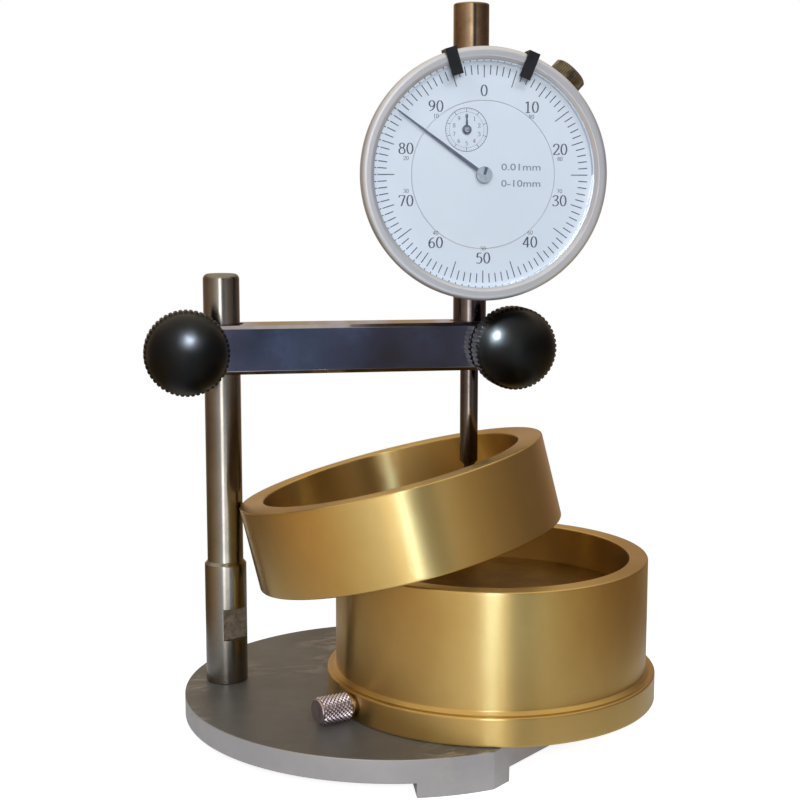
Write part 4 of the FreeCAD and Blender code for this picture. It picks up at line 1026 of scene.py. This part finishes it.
@dataclass
class Arm:
    """Clamp arm, its split bushes, and the two fluted knobs on their studs."""

    deep: float = 12.0
    edge_round: float = 0.12
    knob: float = 19.7
    rim: float = 6.6
    dome: float = 18.5
    rise: float = 8.0
    neck: float = 10.0
    neck_long: float = 0.8
    stud: float = 5.0
    offset: float = 8.6
    gap: float = 0.1
    flutes: int = 50
    flute_deep: float = 0.32
    flute_fade: float = 0.6

    DOME_STEPS = 16
    FACES_PER_FLUTE = 8

    def bar(self) -> None:
        """Round the bar's edges so that the chrome catches light along them."""
        piece = cad_copy("chromed_arm", "clamp_arm", [CHROME], self.edge_round)
        fit(piece, "arm", "chrome_arm", "clamp_arm")
        dress(BUSH_BRONZE, "column_bush", "stem_bush")
        dress(SCREW_NICKEL, "column_knob_stud", "gauge_knob_stud")

    def one_knob(self, name: str, x: float) -> None:
        """Make a knob in front of one of the arm's screws.

        Args:
            name: the knob's node, and its body.
            x: the screw's place.
        """
        radius = self.knob / 2
        edge = self.dome / 2
        front = self.neck_long + self.rim
        ball = (edge ** 2 + self.rise ** 2) / (2 * self.rise)
        start = math.asin(edge / ball)
        dome = []
        for step in range(self.DOME_STEPS + 1):
            lean = start * (1 - step / self.DOME_STEPS)
            dome.append((ball * math.sin(lean), front + self.rise - ball * (1 - math.cos(lean))))
        outline = [
            (self.stud / 2, 0.0), (self.neck / 2, 0.0), (self.neck / 2, self.neck_long, 0.15),
            (radius, self.neck_long, 0.7), (radius, front - 0.9, 0.6), *dome,
            (0.0, front), (self.stud / 2, front),
        ]

        def flute(point: Vector) -> Vector:
            """Press the flutes into the rim.

            Args:
                point: a point of the smooth knob.

            Returns:
                Where it is with the flutes.
            """
            out = math.hypot(point.x, point.y)
            if out < edge + 0.05:
                return point
            share = min(1.0, (out - edge) / self.flute_fade)
            wave = math.cos(self.flutes * math.atan2(point.y, point.x))
            kept = 1 - self.flute_deep * share * max(0.0, wave) ** 0.7 / out
            return Vector((point.x * kept, point.y * kept, point.z))

        work = lathe(outline, self.flutes * self.FACES_PER_FLUTE, True, flute)
        place = in_place(x, STEM_AT.y - self.deep / 2 - self.gap, ARM_Z, FACE)
        fit(finish_mesh(name + "_ball", work, place, [PHENOLIC], 50.0), name, "black_knob", name)

    def knobs(self) -> None:
        """Make both knobs."""
        self.one_knob("column_knob", COLUMN_AT.x - self.offset)
        self.one_knob("gauge_knob", STEM_AT.x + self.offset)


@dataclass
class Gauge:
    """Dial gauge: bezel, window, dial, hands, cap, clips and lock screw."""

    rows: RowsRound
    bezel: float = 57.9
    skirt: float = 56.2
    bore: float = 50.2
    window: float = 51.9
    dial: float = 51.8
    back: float = 11.1
    band_back: float = 13.9
    front: float = 17.1
    dial_front: float = 13.5
    cap: float = 8.5
    cap_foot: float = 25.9
    cap_tall: float = 14.4
    cap_wall: float = 1.2
    ink_lift: float = 0.02
    numbers_at: float = 19.15
    number_tall: float = 2.6
    back_number_tall: float = 0.95
    back_number_step: float = 2.2
    small_at: tuple[float, float] = (-4.049, 10.228)
    small_numbers_at: float = 3.1
    small_number_tall: float = 1.0
    hand_lift: float = 0.7
    hand_long: float = 24.6
    hand_half: float = 0.45
    hand_tip: float = 0.36
    hand_thick: float = 0.2
    hand_reads: float = 305.7
    hub: float = 3.8
    hub_rise: float = 0.4
    screw: float = 8.6
    screw_angle: float = 43.4
    screw_start: float = 23.6
    screw_end: float = 33.7
    screw_head: float = 4.2
    screw_front: float = 5.5
    rib: float = 0.22
    ribs: int = 44
    pen: Pen = field(default_factory=Pen)

    # Rings of divisions: how many, inner radius, outer radius and half width.
    DIVISIONS = ((100, 22.75, 24.9, 0.12), (20, 22.05, 22.75, 0.11), (10, 20.9, 22.05, 0.11))
    SMALL_DIVISIONS = ((10, 4.05, 4.9, 0.07), (50, 4.55, 4.9, 0.035))
    # Printed circles of the small dial: radius and width.
    SMALL_CIRCLES = ((5.0, 0.12), (4.1, 0.06))
    CIRCLE_STEPS = 60
    # The unit words, with their lowest and highest points, between these two sides.
    WORDS = (("0.01mm", 1.0, 2.6), ("0-10mm", -2.75, -1.15))
    WORDS_LEFT = 4.2
    WORDS_RIGHT = 13.6

    def outside(self) -> None:
        """Turn the bezel and the dust cap, and finish the case and stem."""
        shelf = self.dial_front - 0.5
        seat = self.dial_front + 1.8
        turned("turned_bezel", [
            (self.bore / 2, self.back, 0.1), (self.skirt / 2, self.back, 0.2),
            (self.skirt / 2, self.band_back, 0.1), (self.bezel / 2, self.band_back, 0.35),
            (self.bezel / 2, self.front, 1.15), (self.window / 2 + 0.8, self.front, 0.3),
            (self.window / 2, self.front - 0.8, 0.2), (self.window / 2, seat), (self.dial / 2, seat),
            (self.dial / 2, shelf), (self.bore / 2, shelf),
        ], on_dial(), BEZEL_SATIN, ("bezel", "bezel_metal", "bezel"), closed=True)
        foot = self.cap_foot
        top = foot + self.cap_tall
        radius = self.cap / 2
        inside = radius - self.cap_wall
        turned("turned_cap", [
            (inside, foot), (radius - 0.5, foot, 0.1), (radius - 0.5, foot + 1.2, 0.1),
            (radius, foot + 1.7, 0.2), (radius, top, 0.4), (0, top), (0, top - self.cap_wall),
            (inside, top - self.cap_wall),
        ], in_place(STEM_AT.x, STEM_AT.y, DIAL_Z), CAP_NICKEL, ("gauge", "cap_metal", "dust_cap"), 96, True)
        dress(CASE_SATIN, "gauge_case", "back_cover")
        dress(SCREW_NICKEL, "cover_screws", "plate_screws")
        dress(NICKEL, "gauge_stem", "spindle", "contact_point")
        dress(JAPANNED, "left_limit_clip", "right_limit_clip")
        dress(ACRYLIC, "crystal")
        dress(DIAL_ENAMEL, "dial_ring", "dial_centre")

    def inside(self) -> None:
        """Finish the small hand, and the movement, which shows only when the gauge is opened."""
        dress(BLUED, "small_hand")
        dress(CLOCK_BRASS, "rear_plate", "front_plate", "plate_pillars", "arbor_bridge", "guide_rail",
              "drive_wheel", "takeup_wheel")
        dress(SPRING_WIRE, "return_spring", "hairspring", "rack_pinion", "centre_pinion", "takeup_arbor",
              "guide_pin", "stop_ring")
        dress(BUSH_BRONZE, "top_bush")

    def ticks(
        self,
        work: Draft,
        rings: Iterable[tuple[int, float, float, float]],
        ink: Finish,
        place: Matrix,
    ) -> None:
        """Print rings of divisions.

        Args:
            work: the print, which grows.
            rings: how many, inner radius, outer radius and half width, for each ring.
            ink: what they are printed in.
            place: where their middle is and how they are turned.
        """
        for count, low, high, half in rings:
            tick = bmesh.new()
            tick.faces.new([tick.verts.new(corner) for corner in (
                (low, -half, 0), (high, -half, 0), (high, half, 0), (low, half, 0))])
            merge(work, self.rows.mesh(tick, ink, count), place)

    def ring_print(self) -> None:
        """Print the hundred divisions and the numbers on the turning ring."""
        height = self.dial_front + self.ink_lift
        work = bmesh.new()
        self.ticks(work, self.DIVISIONS, TICK_INK, Matrix.Translation((0, 0, height)))
        ticks = len(work.faces)
        for number, at in enumerate(round_points(self.numbers_at, 10)):
            self.pen.number(work, str(10 * number), at, self.number_tall, height)
            if number:
                other = at - Vector((0.0, math.copysign(self.back_number_step, at.y)))
                self.pen.number(work, str(100 - 10 * number), other, self.back_number_tall, height)
        second_finish(work, ticks)
        print_on_dial("dial_ring_print", work, [TICK_INK, DIAL_INK], "bezel")

    def centre_print(self) -> None:
        """Print the small dial and the units on the fixed middle."""
        height = self.dial_front + self.ink_lift
        middle = Vector(self.small_at)
        work = bmesh.new()
        for radius, wide in self.SMALL_CIRCLES:
            inner, outer = (
                [work.verts.new((*at, height)) for at in round_points(reach, self.CIRCLE_STEPS, middle)]
                for reach in (radius - wide, radius)
            )
            for k in range(-1, self.CIRCLE_STEPS - 1):
                work.faces.new((inner[k], outer[k], outer[k + 1], inner[k + 1]))
        self.ticks(work, self.SMALL_DIVISIONS, DIAL_INK, Matrix.Translation((*middle, height)) @ QUARTER)
        for number, at in enumerate(round_points(self.small_numbers_at, 10, middle)):
            self.pen.number(work, str(number), at, self.small_number_tall, height)
        print_on_dial("small_dial_print", work, [DIAL_INK], "gauge")
        words = bmesh.new()
        for text, low, high in self.WORDS:
            printed_words(
                words, text, Vector((self.WORDS_LEFT, low)), Vector((self.WORDS_RIGHT, high)), height)
        print_on_dial("unit_print", words, [PALE_INK], "gauge")

    def hand(self) -> None:
        """Make the main hand: a slim blued blade on a bright hub, with a strip of painted shade for the
        hub's slot.
        """
        low = self.dial_front + self.hand_lift
        high = low + self.hub_rise
        radius = self.hub / 2
        work = bmesh.new()
        blade = block((0.0, -self.hand_half, low), (self.hand_long, self.hand_half, low + self.hand_thick),
                      self.hand_tip)
        merge(work, blade, QUARTER)
        outline = [(0, low - 0.2), (radius, low - 0.2, 0.08), (radius, high, 0.15), (0, high)]
        first = len(work.faces)
        merge(work, lathe(outline, 48))
        second_finish(work, first)
        # The hub's slot is not cut; a thin strip of the dark blued finish stands on the hub as painted
        # shade in the slot.
        slot = block((0.0, -0.35, high), (1.8, 0.35, high + 0.04))
        merge(work, slot, Matrix.Rotation(math.radians(20), 4, "Z"))
        piece = finish_mesh("main_hand_blade", work, on_dial(self.hand_reads), [BLUED, HUB_NICKEL])
        fit(piece, "hand", "blued_hand", "main_hand")

    def lock_screw(self) -> None:
        """Turn the bezel's lock screw and knurl its head lengthwise."""
        shank = self.screw_end - self.screw_head - self.screw_start
        end = shank + self.screw_head
        core = self.screw / 2 - self.rib
        outline = [(0, 0), (1.5, 0), (1.5, shank), (core, shank, 0.25), (core, end, 0.35), (0, end)]
        work = lathe(outline, 72)
        rib = block((-0.25, -0.3, shank + 0.35), (self.rib, 0.3, end - 0.35), 0.25)
        merge(work, self.rows.mesh(rib, LOCK_NICKEL, self.ribs, radius=core))
        angle = math.radians(self.screw_angle)
        place = in_place(
            STEM_AT.x + self.screw_start * math.sin(angle), STEM_AT.y - self.screw_front,
            DIAL_Z + self.screw_start * math.cos(angle), Matrix.Rotation(angle, 4, "Y"))
        piece = finish_mesh("knurled_lock_screw", work, place, [LOCK_NICKEL])
        fit(piece, "lock_screw", "screw_steel", "bezel_lock_screw")


@dataclass
class BrassWare:
    """Vessel, its loose floor plate and thumbscrew, and the leaning sample ring."""

    rows: RowsRound
    at: tuple[float, float] = (20.55, -8.5)
    wall: float = 73.3
    bore: float = 64.6
    tall: float = 33.4
    flange: float = 77.5
    flange_tall: float = 6.6
    fillet: float = 0.8
    plate_top: float = 24.4
    plate_deep: float = 2.0
    plate_gap: float = 0.1
    floor: float = 8.0
    ledge: float = 2.2
    thumb_angle: float = 203.0
    thumb_height: float = 3.4
    thumb: float = 6.4
    thumb_hidden: float = 6.0
    thumb_shank: float = 6.5
    thumb_head: float = 8.2
    point_tall: float = 0.35
    point_half: float = 0.5
    points_round: int = 19
    point_rows: int = 14
    ring_outer: float = 73.3
    ring_bore: float = 61.8
    ring_tall: float = 20.0
    ring_at: tuple[float, float] = (2.25, -3.0)
    ring_lean: float = 14.0
    ring_gap: float = 0.1

    def vessel(self) -> None:
        """Turn the flanged vessel."""
        outer = self.wall / 2
        inner = self.bore / 2
        flange = self.flange / 2
        ledge = self.plate_top - self.plate_deep
        turned("turned_vessel", [
            (0, 0), (flange, 0, 0.4), (flange, self.flange_tall, 0.45),
            (outer + self.fillet, self.flange_tall, 0.2), (outer, self.flange_tall + self.fillet, 0.3),
            (outer, self.tall, 0.4), (inner, self.tall, 0.35), (inner, ledge), (inner - self.ledge, ledge),
            (inner - self.ledge, self.floor), (0, self.floor),
        ], in_place(*self.at, BASE_TOP), BRASS, ("vessel", "turned_brass", "vessel"))

    def plate(self) -> None:
        """Turn the flat plate that lies on the vessel's ledge."""
        radius = self.bore / 2 - self.plate_gap
        low = self.plate_top - self.plate_deep
        turned("turned_plate", [
            (0, low), (radius, low, 0.2), (radius, self.plate_top, 0.3), (0, self.plate_top),
        ], in_place(*self.at, BASE_TOP), FLOOR_BRASS, ("plate", "turned_brass", "vessel_plate"), 192)

    def thumbscrew(self) -> None:
        """Turn the thumbscrew and cover its head with a diamond knurl."""
        shank = self.thumb_shank
        end = shank + self.thumb_head
        core = self.thumb / 2 - self.point_tall
        outline = [(0, 0), (2.0, 0), (2.0, shank), (core, shank, 0.2), (core, end, 0.3), (0, end)]
        work = lathe(outline, 60)
        point = bmesh.new()
        tip = point.verts.new((self.point_tall, 0, 0))
        half = self.point_half
        ring = [point.verts.new((-0.05, *side)) for side in ((-half, 0), (0, -half), (half, 0), (0, half))]
        for index in range(-1, 3):
            point.faces.new((tip, ring[index], ring[index + 1]))
        bmesh.ops.recalc_face_normals(point, faces=point.faces)
        twist = math.pi / self.points_round
        knurl = self.rows.mesh(
            point, SCREW_NICKEL, self.points_round, self.point_rows, core, half, twist)
        merge(work, knurl, Matrix.Translation((0, 0, shank + 0.85)))
        out = math.radians(self.thumb_angle)
        start = self.flange / 2 - self.thumb_hidden
        turn = Matrix.Rotation(out, 4, "Z") @ Matrix.Rotation(math.radians(90), 4, "Y")
        place = in_place(self.at[0] + start * math.cos(out), self.at[1] + start * math.sin(out),
                         BASE_TOP + self.thumb_height, turn)
        piece = finish_mesh("knurled_thumbscrew", work, place, [SCREW_NICKEL])
        fit(piece, "thumbscrew", "nickel_screw", "vessel_thumbscrew")

    def rest_height(self) -> float:
        """Work out where the leaning ring's bore edge meets the vessel's outer rim.

        Returns:
            The height of the ring's middle above the rim.
        """
        bore = self.ring_bore / 2
        apart = math.dist(self.at, self.ring_at)
        lean = math.radians(self.ring_lean)
        square = (bore * math.sin(lean)) ** 2
        slope = 2 * apart * bore * math.cos(lean)
        rest = (self.wall / 2) ** 2 - bore ** 2 - apart ** 2
        cosine = (-slope + math.sqrt(slope ** 2 - 4 * square * rest)) / (2 * square)
        return self.ring_gap - bore * cosine * math.sin(lean)

    def ring(self) -> None:
        """Turn the sample ring and lean it on the vessel."""
        outer = self.ring_outer / 2
        inner = self.ring_bore / 2
        uphill = math.atan2(self.at[1] - self.ring_at[1], self.at[0] - self.ring_at[0])
        lean = Matrix.Rotation(-math.radians(self.ring_lean), 4, "Y")
        height = BASE_TOP + self.tall + self.rest_height()
        place = in_place(*self.ring_at, height, Matrix.Rotation(uphill, 4, "Z") @ lean)
        turned("turned_sample_ring", [
            (inner, 0, 0.4), (outer, 0, 0.4), (outer, self.ring_tall, 0.4), (inner, self.ring_tall, 0.4),
        ], place, BRASS, ("ring", "turned_brass", "sample_ring"), closed=True)


@dataclass(frozen=True)
class FloorPaint(Finish):
    """Matt white studio floor that shows white in the picture and keeps soft shadows."""

    lift: float = 0.8
    in_metal: float = 0.1

    def build(self, tree: Tree) -> Node:
        """Fill the tree: matt paint, lifted to white for the rays that show the background.

        Args:
            tree: the material's tree.

        Returns:
            The shader.
        """
        path = add(tree, "LightPath").outputs
        shown = add(tree, "Math", {
            0: path["Is Camera Ray"], 1: path["Is Transmission Ray"]}, operation="MAXIMUM")
        polish = add(tree, "Math", {0: path["Is Glossy Ray"], 1: self.in_metal}, operation="MULTIPLY")
        share = add(tree, "Math", {0: shown, 1: polish}, operation="ADD")
        strength = add(tree, "Math", {0: share, 1: self.lift}, operation="MULTIPLY")
        glow = add(tree, "Emission", {"Color": "#FFFFFF", "Strength": strength})
        paint = add(tree, "BsdfDiffuse", {"Color": "#EDEDED"})
        return add(tree, "AddShader", {0: glow, 1: paint})


@dataclass(frozen=True)
class Lamp:
    """A soft lamp that lights everything, or a gleam that shows in the polish of some pieces alone."""

    name: str
    at: tuple[float, float, float]
    aim: tuple[float, float, float]
    wide: float
    power: float
    code: str
    spread: float = 180.0
    pieces: tuple[str, ...] = ()
    tall: float = 0.0

    def hang(self) -> None:
        """Put the lamp in the scene at its place in metres, facing the point that it is aimed at."""
        light = bpy.data.lights.new(self.name, "AREA")
        light.shape = "RECTANGLE" if self.tall else "SQUARE"
        light.size = self.wide
        light.size_y = self.tall or self.wide
        light.energy = self.power
        light.color = linear(self.code)[:3]
        light.spread = math.radians(self.spread)
        holder = in_scene(self.name, light)
        holder.location = self.at
        holder.rotation_euler = (Vector(self.aim) - Vector(self.at)).to_track_quat("-Z", "Y").to_euler()
        holder.visible_camera = False
        if not self.pieces:
            holder.visible_glossy = False
            return
        holder.visible_diffuse = False
        lit = bpy.data.collections.new(self.name + "_pieces")
        for piece in self.pieces:
            lit.objects.link(bpy.data.objects[piece])
        holder.light_linking.receiver_collection = lit


class Studio:
    """White room, lamps, floor and the camera at the photograph's angle."""

    # What metal sees round the room, by degrees from the front towards +X: a tall pale window left
    # of the reader, dark furniture right of it, and brown walls.
    WALLS = (
        (-180, "#5F4F38"), (-160, "#5F4F38"), (-128, "#443420"), (-105, "#4F3D26"), (-78, "#5D4B37"),
        (-55, "#6C6152"), (-33, "#8E867E"), (-20, "#A09890"), (-17, "#C4BEB6"), (-4, "#C4BEB6"),
        (0, "#6A6668"), (2.7, "#34343F"), (4.5, "#1A2228"), (5.5, "#202A32"), (6.4, "#353D46"),
        (7.4, "#28292E"), (8.4, "#1C1C1B"), (9.2, "#282524"), (12, "#1C1B19"), (15, "#2A2826"),
        (23, "#5C5650"), (43, "#483F33"), (65, "#372C1F"), (90, "#2E2317"), (122, "#382B1B"),
        (150, "#52422C"), (180, "#5F4F38"),
    )
    # What it sees of the table in front, pale where the lamps fall on it.
    TABLE = (
        (-180, "#4D4438"), (-164, "#382F24"), (-127, "#3A2E1A"), (-104, "#523E24"), (-84, "#665033"),
        (-67, "#735E42"), (-51, "#796E5B"), (-36, "#7E7C74"), (-20, "#848990"), (-16, "#878D96"),
        (-11, "#878D96"), (-7, "#848990"), (9, "#777F82"), (24, "#737370"), (40, "#6D6654"),
        (57, "#65573E"), (77, "#58472B"), (100, "#4A3920"), (137, "#4A4030"), (180, "#4D4438"),
    )
    CLUTTER_TONE = "#A8B4E0"
    CEILING_TONE = "#8B8375"
    GLOSS_LEVEL = 4.0
    EVEN_LEVEL = "#7C7C7E"

    MIDDLE = (0.0, 0.0, 0.08)
    SOFT = (
        Lamp("front_soft", (-0.08, -0.62, 0.24), MIDDLE, 0.2, 2.3, "#FDFEFF"),
        Lamp("right_soft", (0.066, -0.338, 0.369), MIDDLE, 0.1, 0.5, "#FAFCFF"),
        Lamp("left_soft", (-0.284, -0.298, 0.443), MIDDLE, 0.14, 0.36, "#FFFCF6"),
    )
    GLEAMS = (
        Lamp("brass_gleam", (-0.052, -0.34, 0.155), (0.011, -0.03, 0.038), 0.03, 0.0042, "#9CC8FF", 16.0,
             ("turned_vessel", "turned_sample_ring")),
        Lamp("left_knob_gleam", (-0.0095, -0.288, 0.367), (-0.0495, -0.006, 0.0895), 0.05, 0.055, "#DCEAFF",
             8.0, ("column_knob_ball",)),
        Lamp("right_knob_gleam", (-0.305, -0.035, 0.309), (0.0278, -0.006, 0.0895), 0.05, 0.09, "#DCF0FF",
             8.0, ("gauge_knob_ball",)),
        Lamp("window_on_rods", (-0.108, -0.334, 0.1), (-0.041, 0.01, 0.1), 0.08, 0.5, "#FFFBF6",
             pieces=("turned_column", "gauge_stem", "spindle"), tall=0.5),
        Lamp("bench_glow_on_column", (0.008, -0.337, -0.06), (-0.041, 0.01, 0.02), 0.12, 0.13, "#F4ECE2",
             pieces=("turned_column",)),
    )

    FLOOR_RADIUS = 110.0
    FLOOR_DROP = 0.02
    # The camera's place in millimetres, and how far it looks down and to the right in degrees.
    CAMERA_AT = (-58.205, -336.45, 123.23)
    LOOK_DOWN = 7.626
    LOOK_RIGHT = 9.854
    LENS = 65.6

    def world(self) -> None:
        """Paint the room: white for the eye, walls for metal, an even level for the rest."""
        world = bpy.data.worlds.new("white_room")
        bpy.context.scene.world = world
        world.use_nodes = True
        tree = world.node_tree
        tree.nodes.clear()
        way = add(tree, "TexCoord").outputs["Generated"]
        parts = add(tree, "SeparateXYZ", {0: way}).outputs
        front = add(tree, "Math", {0: parts[1], 1: -1.0}, operation="MULTIPLY")
        bearing = add(tree, "Math", {0: parts[0], 1: front}, operation="ARCTAN2")
        share = add(tree, "MapRange", {"Value": bearing, "From Min": -math.pi, "From Max": math.pi})
        clutter = add(tree, "TexNoise", {"Vector": way, "Scale": 38.0, "Detail": 4.0, "Roughness": 0.6})
        specks = add(tree, "MapRange", {
            "Value": clutter, "From Min": 0.5, "From Max": 0.78, "To Max": 0.24})
        up = add(tree, "MapRange", {"Value": parts[2], "From Min": 0.35, "From Max": 0.8})
        down = add(tree, "MapRange", {"Value": parts[2], "From Min": -0.15, "From Max": -0.21})
        rings = []
        for stops in (self.WALLS, self.TABLE):
            ring = add(tree, "ValToRGB", {"Fac": share})
            while len(ring.color_ramp.elements) < len(stops):
                ring.color_ramp.elements.new(1.0)
            for element, (angle, code) in zip(ring.color_ramp.elements, stops):
                element.position = (angle + 180) / 360
                element.color = linear(code)
            rings.append(ring)
        room, table = rings
        for where, tone in ((specks, self.CLUTTER_TONE), (up, self.CEILING_TONE), (down, table)):
            room = add(tree, "Mix", {"Factor": where, 6: room, 7: tone}, data_type="RGBA")
        bright = add(tree, "VectorMath", {0: room, "Scale": self.GLOSS_LEVEL}, operation="SCALE")
        path = add(tree, "LightPath").outputs
        lit = add(tree, "Mix", {
            "Factor": path["Is Glossy Ray"], 6: self.EVEN_LEVEL, 7: bright}, data_type="RGBA")
        clear = add(tree, "Math", {
            0: path["Is Camera Ray"], 1: path["Is Transmission Ray"]}, operation="MAXIMUM")
        seen = add(tree, "Mix", {"Factor": clear, 6: lit, 7: "#FFFFFF"}, data_type="RGBA")
        shade = add(tree, "Background", {"Color": seen, "Strength": 1.0})
        add(tree, "OutputWorld", {"Surface": shade})

    def build(self) -> None:
        """Make the room, soft lamps, floor and camera."""
        self.world()
        for lamp in self.SOFT:
            lamp.hang()
        work = bmesh.new()
        bmesh.ops.create_circle(work, cap_ends=True, segments=96, radius=self.FLOOR_RADIUS)
        place = in_place(0, 0, -self.FLOOR_DROP)
        finish_mesh("studio_floor", work, place, [FloorPaint("white_studio_floor")], None)
        camera = in_scene("camera", bpy.data.cameras.new("camera"))
        camera.data.lens = self.LENS
        camera.data.sensor_width = 36.0
        camera.data.clip_start = 0.01
        camera.data.clip_end = 30.0
        camera.location = Vector(self.CAMERA_AT) * MM
        camera.rotation_euler = (math.radians(90 - self.LOOK_DOWN), 0.0, math.radians(-self.LOOK_RIGHT))
        bpy.context.scene.camera = camera
        bpy.context.scene.view_settings.view_transform = "Standard"

    def gleams(self) -> None:
        """Hang the gleams, once the pieces that they are meant for are made."""
        for lamp in self.GLEAMS:
            lamp.hang()


def main() -> None:
    """Build every sub-assembly."""
    logging.basicConfig(level=logging.INFO, format="%(name)s: %(message)s")
    studio = Studio()
    rows = RowsRound()
    stand = Stand()
    arm = Arm()
    gauge = Gauge(rows)
    brass = BrassWare(rows)
    for make in (
        studio.build, stand.base, stand.column, arm.bar, arm.knobs, gauge.outside, gauge.inside,
        gauge.ring_print, gauge.centre_print, gauge.hand, gauge.lock_screw, brass.vessel, brass.plate,
        brass.thumbscrew, brass.ring, studio.gleams,
    ):
        make()


if __name__ == "__main__":
    main()
